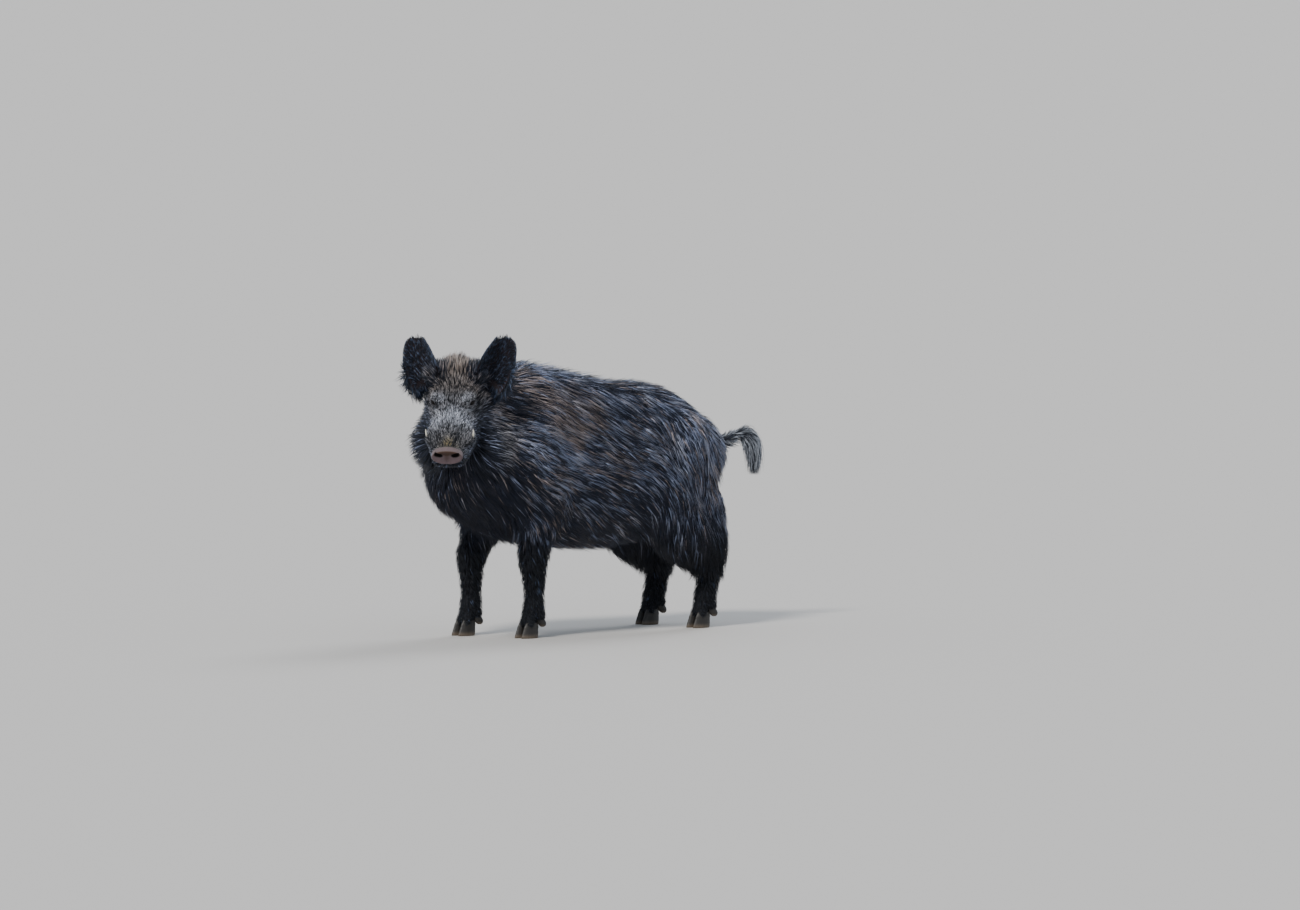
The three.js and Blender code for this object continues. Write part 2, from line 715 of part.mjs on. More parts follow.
function addLeg(name, side, joints, labels, cuts, [nearest, farthest]) {
  const foot = joints[joints.length - 1];
  const xs = side > 0 ? [LEG_INNER, LEG_OUTER] : [-LEG_OUTER, -LEG_INNER];
  const zone = (high, low, more) => box(
    bodyFrame, [xs[0], nearest, low], [xs[1], farthest, high], more
  );
  const low = [xs[0] - LEG_MARGIN, nearest - LEG_MARGIN];
  const high = [xs[1] + LEG_MARGIN, farthest + LEG_MARGIN];
  const knee = cuts[cuts.length - 2];
  const upper = netSolid(
    bodyFrame, [...low, knee - LEG_OVERLAP], [...high, cuts[0] + LEG_OVERLAP], LEG_CELL
  );
  const lower = netSolid(bodyFrame, [...low, FLOOR], [...high, knee + LEG_OVERLAP], FOOT_CELL);
  const hooves = [];
  for (const outward of [1, -1]) {
    const across = side * outward;
    const label = outward > 0 ? 'outer' : 'inner';
    const main = (more) => claw(
      foot[0] + across * CLAW_SPACING / 2, foot[1] - FOOT_AHEAD, FLOOR,
      [SOLE_LENGTH, SOLE_WIDTH, CLAW_HEIGHT], more
    );
    const dew = (more) => claw(
      foot[0] + across * DEWCLAW_APART / 2, foot[1] + DEWCLAW_BACK, FLOOR + DEWCLAW_FOOT,
      DEWCLAW_SIZE, more
    ).subtract(main(2 * HALF_GAP));
    hooves.push([`${name}_claw_${label}`, main], [`${name}_dewclaw_${label}`, dew]);
  }
  labels.forEach((label, i) => {
    const flesh = cuts[i] > knee ? upper : lower;
    let piece = flesh.intersect(zone(cuts[i], cuts[i + 1] ?? FLOOR, -HALF_GAP));
    for (const [, shape] of hooves) piece = piece.subtract(shape(2 * HALF_GAP));
    addPiece(`${name}_${label}`, piece, 'coat');
  });
  for (const [label, shape] of hooves) addPiece(label, shape(0), 'horn');
  return zone(cuts[0], -FAR, HALF_GAP);
}

const FORE_PARTS = ['arm', 'cannon', 'pastern'];
const HIND_PARTS = ['thigh', 'shank', 'cannon', 'pastern'];
for (const [n, side] of [1, -1].entries()) {
  const [fore, hind] = LEGS.slice(3 * n);
  const name = sideName(side);
  trunk = trunk
    .subtract(addLeg(`${name}_fore`, side, fore, FORE_PARTS, FORE_CUTS, FORE_REACH))
    .subtract(addLeg(`${name}_hind`, side, hind, HIND_PARTS, HIND_CUTS, HIND_REACH));
}

addPiece('trunk', trunk.subtract(tail(2 * HALF_GAP)), 'coat');
addPiece('tail', tail(0), 'coat');
const tailSwitch = taperedTube(bodyFrame, SWITCH_PATH, SWITCH_RADII, 0, TAIL_STEPS);
addPiece('tail_switch', tailSwitch.subtract(tail(2 * HALF_GAP)), 'coat');

// The origin is on the floor under the middle of the whole.
const extent = new THREE.Box3().setFromObject(boar);
const middle = extent.getCenter(new THREE.Vector3());
boar.position.set(-middle.x, -middle.y, -extent.min.z);

export default boar;
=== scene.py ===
"""Adult wild boar in its winter coat, standing still: one skin, a coat of solid
tufts that follow its lie, eyes, tusks and hooves.

Shapes are worked out in the animal's own frame, in millimetres: +X is its left,
-Y is ahead of it, +Z is up and FLOOR is the height of the ground. The meshes are
in metres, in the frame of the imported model."""

from functools import reduce
from math import cos, pi, radians, sin

import bmesh
import bpy
import numpy as np
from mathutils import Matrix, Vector
from mathutils.kdtree import KDTree


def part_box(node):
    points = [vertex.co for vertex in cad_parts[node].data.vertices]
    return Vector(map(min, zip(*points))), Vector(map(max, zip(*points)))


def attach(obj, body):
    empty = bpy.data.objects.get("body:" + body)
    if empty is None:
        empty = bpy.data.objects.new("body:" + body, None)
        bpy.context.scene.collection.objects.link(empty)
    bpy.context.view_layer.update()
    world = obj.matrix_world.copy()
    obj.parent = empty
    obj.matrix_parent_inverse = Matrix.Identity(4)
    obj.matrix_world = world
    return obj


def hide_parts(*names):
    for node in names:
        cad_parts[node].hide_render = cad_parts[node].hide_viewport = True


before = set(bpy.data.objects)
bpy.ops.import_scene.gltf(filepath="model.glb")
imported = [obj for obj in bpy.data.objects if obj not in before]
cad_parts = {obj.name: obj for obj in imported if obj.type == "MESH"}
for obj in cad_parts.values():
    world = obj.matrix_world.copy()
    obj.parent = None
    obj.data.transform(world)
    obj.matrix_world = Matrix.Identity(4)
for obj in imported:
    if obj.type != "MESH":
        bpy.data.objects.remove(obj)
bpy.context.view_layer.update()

MM = 0.001
FLOOR = -35.0
random = np.random.default_rng(7)

# ------------------------------------------------------------------ dimensions

# Trunk sections along Y: place, half width, top, bottom, depth of the coat on
# the flank, depth of the coat on the crest of the back.
TRUNK = np.array([
    [-390, 112, 668, 350, 26, 34],
    [-300, 138, 712, 288, 28, 42],
    [-200, 146, 729, 262, 28, 44],
    [-60, 150, 709, 246, 28, 40],
    [100, 154, 680, 240, 28, 30],
    [230, 148, 673, 262, 28, 28],
    [320, 134, 654, 306, 28, 26],
    [390, 114, 618, 352, 26, 24],
    [440, 88, 578, 390, 24, 22],
], float)
TRUNK_TAPER = 0.2
TRUNK_BLEND = 45

# The head's own frame sits between the eyes: forward, left, up.
EYES_MIDDLE = np.array([128.0, -571.0, 675.0])
HEAD_TURN = 44
HEAD_PITCH = 34
HEAD = np.array([
    [-120, 76, 45, -140, 20, 25],
    [-70, 78, 45, -146, 15, 19],
    [-20, 77, 26, -142, 11, 8],
    [30, 68, 11, -126, 8, 6],
    [90, 53, 6, -108, 6, 5],
    [150, 47, -1, -92, 5, 4],
    [205, 39, -8, -68, 3, 3],
], float)
HEAD_TAPER = 0.28
HEAD_BLEND = 22
# Soft masses of the head, mirrored: place, radii, depth of the coat.
HEAD_MASSES = [
    ([-18, 69, -156], [62, 36, 52], 36),
    ([-14, 39, 11], [34, 24, 17], 5),
    ([120, 46, -34], [46, 20, 27], 6),
    ([-106, 46, 22], [32, 38, 32], 16),
]
JAW = [[20, 0, -108, 34, 14], [186, 0, -66, 20, 8]]
JAW_SPREAD = 26

# Limbs: rows of X, Y, Z, radius and depth of the coat.
NECK = [
    [[0, -270, 610, 118, 38], [42, -455, 662, 86, 24]],
    [[0, -320, 480, 128, 30], [44, -450, 560, 86, 32]],
    [[0, -330, 420, 98, 28], [6, -408, 440, 82, 30]],
]
NECK_BLEND = 60
FORE_LEG = [
    [96, -285, 510, 104, 28],
    [104, -210, 392, 64, 24],
    [101, -232, 300, 49, 18],
    [99, -244, 195, 34, 13],
    [99, -240, 125, 25, 9],
    [99, -240, 58, 26, 7],
    [99, -258, 17, 24, 4],
]
HIND_LEG = [
    [74, 300, 500, 110, 28],
    [100, 240, 365, 88, 28],
    [102, 324, 250, 60, 32],
    [99, 434, 174, 36, 20],
    [99, 429, 112, 26, 11],
    [99, 417, 60, 27, 8],
    [99, 400, 17, 24, 4],
]
HAMSTRING = [[78, 372, 470, 72, 26], [97, 440, 232, 36, 22]]
LEG_FLATNESS = 0.86
LEG_BLEND = 34
FORE_STRIDE = 76
HIND_STRIDE = 30
TOE_SPREAD = 14
TOE_RADII = [16, 13]
BUD_AT = [18, 27, 14]
BUD_RADII = [12, 16, 15]

SOLE_LENGTH = 62
SOLE_WIDTH = 27
CLAW_HEIGHT = 46
CLAW_SPACING = 30.5
DEWCLAW_SIZE = [32, 18, 28]
DEWCLAW_FOOT = 32
DEWCLAW_BACK = 36
DEWCLAW_APART = 38
FOOT_AHEAD = 12

# Ears, in the head's frame.
EAR_ROOT_LEFT = np.array([-98.0, 82.0, 2.0])
EAR_ROOT_RIGHT = np.array([-98.0, -70.0, 2.0])
EAR_TIP_LEFT = np.array([-122.0, 158.0, 146.0])
EAR_TIP_RIGHT = np.array([-122.0, -120.0, 146.0])
EAR_OPENING = [0.93, 0.28, 0.2]
EAR_HALF_WIDTH = 51
EAR_HALF_THICKNESS = 3.6
EAR_THINNING = 0.35
EAR_CORNER = 15
EAR_EDGE = 2
EAR_BEND = 14
EAR_WRAP_ROOT = 88
EAR_WRAP_TIP = 52
EAR_INNER_CUT = 0.5
EAR_BLUNTNESS = 0.985
EAR_COAT = 4

# Eyes: the ball, where it looks, and the slit between the lids.
EYE_AT = np.array([9.0, 53.0, 7.0])
EYE_RADIUS = 12
EYE_LOOK = [0.8, 0.55, 0.24]
EYE_CORNER = [0.55, -0.75, -0.42]
EYE_HALF_LENGTH = 0.98
EYE_HALF_HEIGHT_UPPER = 0.55
EYE_HALF_HEIGHT_LOWER = 0.42
LID_RADIUS = 13.4
LID_COAT = 2.5
LID_EDGE = -1.6
SOCKET_RADIUS = 10.5

TUSK_PATH = [[108, 48, -64], [122, 60, -47], [129, 68, -25], [127, 70, -4]]
TUSK_RADII = [7, 6, 3.7, 1.3]

MUZZLE_END = 207
DISC_BACK = 200
DISC_FRONT = 231
DISC_MIDDLE = -30
DISC_HALF_WIDTH = 46
DISC_HALF_HEIGHT = 25.5
DISC_ROUND = 6
DISC_DISH = 3.2
DISC_RIM_HEIGHT = 2.2
DISC_CLEFT = 2.5
NOSTRIL_AT = [232, 25, -21]
NOSTRIL_RADII = [18, 12, 7.4]
NOSTRIL_SLANT = 0.18

TAIL = [
    [0, 470, 484, 17, 11],
    [2, 545, 494, 12, 12],
    [4, 592, 512, 10, 11],
    [6, 628, 524, 8, 9],
]
SWITCH = [[6, 616, 523], [8, 650, 522], [10, 673, 492], [10, 681, 446], [10, 681, 398]]
SWITCH_RADII = [15, 25, 25, 19, 9]

SIDES = {1: "left", -1: "right"}
FAR = 400.0

# ------------------------------------------------------------------ head frame


def unit(v):
    v = np.asarray(v, float)
    return v / np.linalg.norm(v, axis=-1, keepdims=True)


turn = radians(HEAD_TURN)
pitch = radians(HEAD_PITCH)
FORWARD = np.array([sin(turn) * cos(pitch), -cos(turn) * cos(pitch), -sin(pitch)])
LEFTWARD = np.array([cos(turn), sin(turn), 0.0])
UPWARD = np.cross(FORWARD, LEFTWARD)
HEAD_AXES = np.stack([FORWARD, LEFTWARD, UPWARD])


def into_head(points):
    return (points - EYES_MIDDLE) @ HEAD_AXES.T


def from_head(points):
    return np.asarray(points, float) @ HEAD_AXES + EYES_MIDDLE


def head_place(points):
    """Forward, left, up and how far to either side, in the head's frame."""
    f, l, u = into_head(points).T
    return f, l, u, np.abs(l)


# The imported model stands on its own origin: an eye tells how far it was moved.
eye_low, eye_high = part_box("left_eye")
SHIFT = np.array((eye_low + eye_high) / 2) / MM - from_head(EYE_AT)
SHIFT[2] = -FLOOR


def to_metres(points):
    return (np.asarray(points) + SHIFT) * MM


# --------------------------------------------------------------------- regions


def ramp(value, low, high):
    t = np.clip((value - low) / (high - low), 0, 1)
    return t * t * (3 - 2 * t)


def hill(value, middle, width):
    return np.exp(-(((value - middle) / width) ** 2))


def rising(low, high):
    return lambda value: ramp(value, low, high)


def around(middle, reach):
    return lambda value: hill(value, middle, reach)


# A region fades in along each of its axes, in millimetres: x, y and z of the animal,
# f, l and u of the head, side for l on either side, reach from the eye, off_mouth and
# off_crease for the height over those lines. Up and head_up tell how far the skin
# faces up, in the animal's and the head's frame.
# Pale marks chosen by how far the face's skin faces up: the muzzle's own grey, with painted light from
# above.
FACE_TOP = rising(-0.1, 0.65)
CHEEK_DOWN = rising(-25, -75)
RUFF_OUT = rising(78, 98)
LID_RING = around(19, 7)
REGIONS = {
    # Relief of the face.
    "muzzle_folds": {"f": rising(148, 172), "u": rising(-62, -20)},
    "disc_groove": {"f": around(203, 5), "u": rising(-62, -20)},
    "crease": {"off_crease": around(0, 5), "f": rising(70, 120), "side": rising(18, 34)},
    "nose_bone": {"side": around(0, 14), "f": around(95, 60), "u": rising(-20, 0)},
    "eye_hollow": {"f": around(52, 20), "side": around(50, 14), "u": around(-22, 16)},
    "mouth": {"off_mouth": around(0, 3.2), "f": rising(40, 60), "side": rising(8, 20)},
    "lip_cleft": {"side": around(0, 5), "u": around(-50, 12)},
    "lid_folds": {"reach": rising(34, 20)},
    # Markings of the face.
    "muzzle": {"f": rising(-5, 55), "head_up": FACE_TOP},
    "bridge": {"f": around(78, 42), "head_up": FACE_TOP},
    "straw": {"f": around(196, 26), "side": around(0, 26), "head_up": FACE_TOP},
    "forehead": {"f": rising(20, -30), "u": rising(-30, 10)},
    "crown": {"f": rising(-40, -95), "u": rising(-5, 30), "side": rising(62, 42)},
    "brow": {"f": around(10, 11), "side": around(36, 9), "u": around(16, 9)},
    "under_eye": {"f": around(30, 12), "side": around(50, 14), "u": around(-10, 7)},
    "lid": {"reach": LID_RING},
    "inner_lid": {"reach": LID_RING, "side": rising(66, 46)},
    "mark": {"f": around(128, 20), "l": around(-4, 5)},
    "mark_beside": {"f": around(150, 12), "l": around(-30, 8)},
    "cheek": {"u": CHEEK_DOWN},
    "cheek_ruff": {"u": CHEEK_DOWN, "side": RUFF_OUT},
    "ruff_front": {"side": RUFF_OUT, "u": rising(-40, -80), "f": rising(50, 20)},
    "throat": {"u": rising(-75, -110), "side": rising(75, 50)},
    "bare_lid": {"reach": rising(22, 17)},
    "disc_top": {"u": rising(-28, -13)},
    "disc_cleft": {"l": around(0, 9), "u": rising(-52, -30)},
    # Markings of the body.
    "upper": {"z": rising(380, 520), "y": rising(330, 160)},
    "shoulder": {"y": rising(-40, -200)},
    "haunch": {"y": rising(220, 340), "z": rising(280, 380)},
    "low_flank": {"z": rising(470, 370)},
    "valley": {"y": around(95, 60), "z": rising(450, 340)},
    "chest": {"y": rising(-300, -380), "z": rising(600, 500)},
    # Painted shadow: fewer pale hairs behind the ear and beyond the ruff's rear edge.
    "behind_ear": {"f": around(-135, 42), "u": around(-40, 65), "side": rising(45, 75)},
    "behind_ruff": {"f": around(-115, 55), "side": around(132, 34), "u": around(-120, 90)},
    "ruff_margin": {"f": around(-50, 40), "side": around(106, 14), "u": around(-170, 65)},
    "lower_leg": {"z": rising(330, 200)},
    "belly": {"up": rising(-0.2, -0.7)},
    # The lie of the hair.
    "croup": {"y": rising(120, 300)},
    "low_body": {"z": rising(520, 320)},
    "back": {"up": rising(0.1, 0.7)},
    "crest": {"up": rising(0.8, 0.97)},
    "low_neck": {"z": rising(560, 400)},
    "upper_arm": {"z": rising(300, 440)},
    "jowl": {"u": rising(-20, -90)},
    "nape": {"f": rising(-30, -90)},
    "over_eye": {"f": around(0, 26), "side": around(52, 22), "u": rising(2, 14)},
    "round_eye": {"reach": rising(32, 16)},
    "tail_end": {"y": rising(560, 640)},
    # The length and spacing of the tufts.
    "face": {"f": rising(-130, -80), "u": rising(-150, -110)},
    "leg": {"z": rising(330, 230)},
    "near_eye": {"reach": rising(46, 28)},
    "clear_of_eye": {"reach": rising(12, 34)},
    "ruff": {"side": rising(50, 80), "u": rising(-50, -90)},
    "poll": {"f": rising(-30, -70), "u": rising(-10, 20)},
    "by_tusk": {"f": around(134, 14), "side": around(52, 12), "u": around(-38, 16)},
    "breech": {"y": rising(385, 420), "z": around(425, 40)},
    "hanging": {"up": rising(-0.05, -0.6)},
    "snout_bristles": {"f": rising(120, 160), "u": rising(0, -20)},
    "chin_bristles": {"f": rising(90, 130), "u": rising(-70, -90)},
    "brow_bristles": {"f": around(-2, 14), "side": around(55, 12), "u": rising(6, 16)},
}


def region(name, place):
    """How much of a named region there is at a place, from 0 to 1."""
    amount = 1.0
    for axis, fade in REGIONS[name].items():
        amount = amount * fade(place[axis])
    return amount


def off_eye(f, side, u):
    """The way from the eye to a place, and its length."""
    rel = np.stack([f, side, u], -1) - EYE_AT
    return rel, np.linalg.norm(rel, axis=-1)


def regions_at(points, normals):
    """A function that tells how much of a named region there is at each point."""
    f, l, u, side = head_place(points)
    _, reach = off_eye(f, side, u)
    x, y, z = points.T
    place = {"x": x, "y": y, "z": z, "f": f, "l": l, "u": u, "side": side, "reach": reach,
             "up": normals[:, 2], "head_up": normals @ UPWARD}
    return lambda name: region(name, place)


def total(at, amounts):
    """The sum of some regions, each times its amount."""
    return sum(amount * at(name) for name, amount in amounts.items())


# ---------------------------------------------------------- distance functions
# Each gives the distance to the skin in millimetres, below zero inside it, and
# the depth of the coat there.


def join(a, b, radius):
    share = np.clip(0.5 + (b[0] - a[0]) / (2 * radius), 0, 1)
    distance = b[0] + (a[0] - b[0]) * share - radius * share * (1 - share)
    return distance, b[1] + (a[1] - b[1]) * share


def section(rows, place):
    """The columns of a row of sections at a place between them, on a smooth curve."""
    last = len(rows) - 1
    i = np.clip(np.searchsorted(rows[:, 0], place) - 1, 0, last - 1)
    before = rows[np.maximum(i - 1, 0)].T
    here = rows[i].T
    following = rows[i + 1].T
    after = rows[np.minimum(i + 2, last)].T
    span = following[0] - here[0]
    t = (place - here[0]) / span
    slope_here = (following - before) / (following[0] - before[0])
    slope_next = (after - here) / (after[0] - here[0])
    curve = here + (following - here) * t * t * (3 - 2 * t)
    return (curve + span * t * (1 - t) * ((1 - t) * slope_here - t * slope_next))[1:]


def loft(rows, taper, along, side, up):
    at = np.clip(along, rows[0, 0], rows[-1, 0])
    half_width, top, bottom, flank, crest = section(rows, at)
    half_height = (top - bottom) / 2
    level = (up - (top + bottom) / 2) / half_height
    width = half_width * (1 - taper * np.clip(level, -1, 1))
    scaled = np.hypot(side / width, level)
    slope = np.hypot(side / width**2, level / half_height) + 1e-9
    rounding = np.minimum(width, half_height)
    ring = np.maximum(scaled * (scaled - 1) / slope, -rounding)
    distance = np.hypot(ring + rounding, along - at) - rounding
    return distance, flank + (crest - flank) * ramp(level, 0.3, 1)


def inside_both(a, b, radius):
    """The distance to what two distances share, with its edge rounded."""
    outside = np.hypot(np.maximum(a + radius, 0), np.maximum(b + radius, 0))
    return outside - radius + np.minimum(np.maximum(a, b) + radius, 0)


def ellipsoid(x, y, z, at, radii):
    a, b, c = radii
    dx = x - at[0]
    dy = y - at[1]
    dz = z - at[2]
    scaled = np.sqrt((dx / a) ** 2 + (dy / b) ** 2 + (dz / c) ** 2)
    slope = np.sqrt((dx / a**2) ** 2 + (dy / b**2) ** 2 + (dz / c**2) ** 2) + 1e-9
    return np.maximum(scaled * (scaled - 1) / slope, -min(radii))


def limb(x, y, z, start, end, flatness=1.0):
    dx, dy, dz = (end[k] - start[k] for k in range(3))
    px = x - start[0]
    py = y - start[1]
    pz = z - start[2]
    t = np.clip((px * dx + py * dy + pz * dz) / (dx * dx + dy * dy + dz * dz), 0, 1)
    reach = np.sqrt(((px - t * dx) / flatness) ** 2 + (py - t * dy) ** 2 + (pz - t * dz) ** 2)
    radius = start[3] + (end[3] - start[3]) * t
    return reach - radius, start[4] + (end[4] - start[4]) * t


def joined(pieces, radius):
    return reduce(lambda a, b: join(a, b, radius), pieces)


def chain(x, y, z, joints, flatness, radius):
    return joined([limb(x, y, z, *ends, flatness) for ends in zip(joints, joints[1:])], radius)


# The stride begins this far below a leg's top and is whole at this height.
STRIDE_FROM = 60
STRIDE_TO = 150


def leg_joints(joints, side, stride):
    """A right leg is the left one mirrored, with the foot moved along by the stride."""
    top = joints[0][2]
    moved = []
    for x, y, z, radius, coat in joints:
        share = float(ramp(top - z, STRIDE_FROM, top - STRIDE_TO)) if side < 0 else 0
        moved.append([side * x, y - stride * share, z, radius, coat])
    return moved


FORE = {side: leg_joints(FORE_LEG, side, FORE_STRIDE) for side in SIDES}
HIND = {side: leg_joints(HIND_LEG, side, HIND_STRIDE) for side in SIDES}
HAM = {side: leg_joints(HAMSTRING, side, HIND_STRIDE / 2) for side in SIDES}


TOE_START = 6
TOE_END = -14
TOE_COAT = 4
FOOT_BLENDS = [3, 8, 6]


def toes(x, y, z, foot):
    """The two toes between a pastern and its claws."""
    found = []
    for apart in (TOE_SPREAD, -TOE_SPREAD):
        start = [foot[0] + apart / 2, foot[1], foot[2] + TOE_START, TOE_RADII[0], TOE_COAT]
        end = [foot[0] + apart, foot[1] - FOOT_AHEAD + 2, foot[2] + TOE_END, TOE_RADII[1], TOE_COAT]
        found.append(limb(x, y, z, start, end))
    return joined(found, FOOT_BLENDS[0])


def leg(x, y, z, joints):
    found = chain(x, y, z, joints, LEG_FLATNESS, LEG_BLEND / 2)
    foot = joints[-1]
    for apart in (1, -1):
        at = [foot[0] + apart * BUD_AT[0], foot[1] + BUD_AT[1], foot[2] + BUD_AT[2]]
        bud = ellipsoid(x, y, z, at, BUD_RADII)
        found = join(found, (bud, TOE_COAT), FOOT_BLENDS[1])
    return join(found, toes(x, y, z, foot), FOOT_BLENDS[2])


# ------------------------------------------------------------------------ face

EYE_GAZE = unit(EYE_LOOK)
SLIT_AXIS = unit(np.array(EYE_CORNER) - EYE_GAZE * (EYE_GAZE @ np.array(EYE_CORNER)))
LID_AXIS = np.cross(SLIT_AXIS, EYE_GAZE)
LID_AXIS = LID_AXIS * np.sign(LID_AXIS[2])


def eye_slit(f, side, u):
    """How far inside the slit between the lids a place is, and its reach from the eye."""
    rel, reach = off_eye(f, side, u)
    ahead = rel @ EYE_GAZE
    along = np.arctan2(rel @ SLIT_AXIS, np.abs(ahead) + 1e-6)
    across = np.arctan2(rel @ LID_AXIS, np.abs(ahead) + 1e-6)
    height = np.where(across > 0, EYE_HALF_HEIGHT_UPPER, EYE_HALF_HEIGHT_LOWER)
    within = height * (1 - (along / EYE_HALF_LENGTH) ** 2) - np.abs(across)
    within = np.where(ahead > 0, np.maximum(within, LID_EDGE), LID_EDGE)
    return within * reach, reach


MOUTH_LEVEL = -70
MOUTH_RISE = 6
MOUTH_SPAN = [120, 200]


def mouth_level(f):
    return MOUTH_LEVEL + MOUTH_RISE * ramp(f, *MOUTH_SPAN)


def snout_disc(f, side, u):
    """The disc of the snout, with a raised rim and two slanted nostrils."""
    tall = DISC_HALF_HEIGHT
    scaled = np.hypot(side / DISC_HALF_WIDTH, (u - DISC_MIDDLE) / tall)
    slope = np.hypot(side / DISC_HALF_WIDTH**2, (u - DISC_MIDDLE) / tall**2) + 1e-9
    ring = np.maximum(scaled * (scaled - 1) / slope, -tall)
    high = ramp(u, DISC_MIDDLE, DISC_MIDDLE + tall)
    rim = DISC_RIM_HEIGHT * high * hill(scaled, 0.8, 0.16)
    front = DISC_FRONT - DISC_DISH * (1 - np.minimum(scaled, 1) ** 4) + rim
    front -= DISC_CLEFT * region("lip_cleft", {"side": side, "u": u})
    slab = np.maximum(f - front, DISC_BACK - f)
    distance = inside_both(ring, slab, DISC_ROUND)
    level = u - NOSTRIL_AT[2] - NOSTRIL_SLANT * (side - NOSTRIL_AT[1])
    nostril = ellipsoid(f, side, level, [NOSTRIL_AT[0], NOSTRIL_AT[1], 0], NOSTRIL_RADII)
    return distance, nostril


CREASE_LEVEL = -34
CREASE_SLOPE = 0.12
FOLD_SPACING = 13
FOLDS_END = [205, 196]
LIP_AT = [119, 55, -44]
LIP_RADII = [20, 15, 16]
LIP_BLEND = 9
LID_BLEND = 12
DISC_BLEND = 4
# Folds of the lids: distance outside the slit, width and depth; two of them stand out.
LID_FOLDS = [(-1.6, 1.6, -1.4), (-5.2, 1.5, 1.3), (-8.6, 2.2, -0.9)]
# How deep each groove is; the bone of the nose stands out instead.
FACE_GROOVES = {"disc_groove": 2.2, "crease": 2.4, "nose_bone": -2.0, "eye_hollow": 3.0, "mouth": 6.0}


def face(f, l, u):
    """The head without its ears."""
    side = np.abs(l)
    found = loft(HEAD, HEAD_TAPER, f, l, u)
    for at, radii, coat in HEAD_MASSES:
        found = join(found, (ellipsoid(f, side, u, at, radii), coat), HEAD_BLEND)
    spread = np.maximum(side - JAW_SPREAD, 0)
    found = join(found, chain(f, spread, u, JAW, 1, 1), HEAD_BLEND)
    distance, coat = found

    # Folds across the muzzle, then what sinks into the face or stands out of it.
    place = {"f": f, "side": side, "u": u, "off_mouth": u - mouth_level(f),
             "off_crease": u - CREASE_LEVEL + CREASE_SLOPE * (DISC_BACK - f)}
    ripple = np.sin(2 * pi * (f + 0.35 * u + 3 * np.sin(side / 9)) / FOLD_SPACING)
    distance = distance - ripple * region("muzzle_folds", place) * ramp(f, *FOLDS_END)
    for name, depth in FACE_GROOVES.items():
        distance = distance + depth * region(name, place)
    # The lip that the tusk lifts.
    lip = ellipsoid(f, side, u, LIP_AT, LIP_RADII)
    distance, coat = join((distance, coat), (lip, coat), LIP_BLEND)
    # The lids, with their folds round the slit.
    slit, reach = eye_slit(f, side, u)
    distance, coat = join((distance, coat), (reach - LID_RADIUS, LID_COAT), LID_BLEND)
    near_eye = region("lid_folds", {"reach": reach})
    for at, width, depth in LID_FOLDS:
        distance = distance + depth * hill(slit, at, width) * near_eye
    distance = np.maximum(distance, np.minimum(slit, reach - SOCKET_RADIUS))

    disc, nostril = snout_disc(f, side, u)
    distance = np.maximum(distance, f - MUZZLE_END)
    distance, coat = join((distance, coat), (disc, 0), DISC_BLEND)
    return np.maximum(distance, -nostril), coat


# ------------------------------------------------------------------------ ears


def ear_shape(t):
    return np.sin(pi * np.clip(0.28 + 0.72 * t, 0.02, 0.99)) ** 0.36


def ear_frame(side):
    root = EAR_ROOT_LEFT if side > 0 else EAR_ROOT_RIGHT
    tip = EAR_TIP_LEFT if side > 0 else EAR_TIP_RIGHT
    length = np.linalg.norm(tip - root)
    axis = (tip - root) / length
    opening = np.array([EAR_OPENING[0], side * EAR_OPENING[1], EAR_OPENING[2]])
    opening = unit(opening - axis * (opening @ axis))
    return root, axis, np.cross(axis, opening), opening, length


EARS = {side: ear_frame(side) for side in SIDES}


def ear_place(points, side):
    """Share of the ear's length, angle round its cup, how far out from the middle of
    its wall, and the cup's own radius and half angle there, in the head's frame."""
    root, axis, across, opening, length = EARS[side]
    rel = points - root
    t = rel @ axis / length
    held = np.clip(t, 0, 1)
    wrap = np.radians(EAR_WRAP_ROOT + (EAR_WRAP_TIP - EAR_WRAP_ROOT) * held)
    bow = EAR_HALF_WIDTH * ear_shape(held) / np.sin(wrap)
    sideways = rel @ across
    inward = bow - EAR_BEND * held * held - rel @ opening
    angle = np.arctan2(sideways, inward)
    near_root = ramp(t, 0.5, 0) * (angle * side < 0)
    wrap = wrap * (1 - EAR_INNER_CUT * near_root)
    return t, angle, np.hypot(sideways, inward) - bow, bow, wrap, length


def ear(points, side):
    t, angle, out, bow, wrap, length = ear_place(points, side)
    edge = (np.abs(angle) - wrap) * bow
    tip = (t - EAR_BLUNTNESS) * length
    foot = -t * length - 15
    rim = inside_both(inside_both(edge, foot, EAR_CORNER), tip, EAR_CORNER)
    thickness = EAR_HALF_THICKNESS * (1 - EAR_THINNING * np.clip(angle / wrap, -1, 1) ** 2)
    distance = inside_both(rim, np.abs(out) - thickness, EAR_EDGE)
    return distance, np.full_like(distance, EAR_COAT)


# ------------------------------------------------------------------- the whole


def reach_box(rows, margin):
    rows = np.array(rows)
    low = (rows[:, :3] - rows[:, 3:4]).min(0) - margin
    high = (rows[:, :3] + rows[:, 3:4]).max(0) + margin
    return low, high


def within(points, box, make):
    """Runs a distance function only inside a box; it is far away elsewhere."""
    near = ((points > box[0]) & (points < box[1])).all(1)
    distance = np.full(len(points), FAR)
    coat = np.full(len(points), 20.0)
    if near.any():
        distance[near], coat[near] = make(points[near])
    return distance, coat


LEG_MARGIN = 75


def head_box(low, high):
    corners = np.array([[f, l, u] for f in (low[0], high[0]) for l in (low[1], high[1])
                        for u in (low[2], high[2])], float)
    world = from_head(corners)
    return world.min(0), world.max(0)


FACE_BOX = head_box([-240, -150, -290], [290, 150, 120])
EAR_BOXES = {1: head_box([-190, 10, -60], [10, 240, 190]), -1: head_box([-190, -200, -60], [10, 0, 190])}


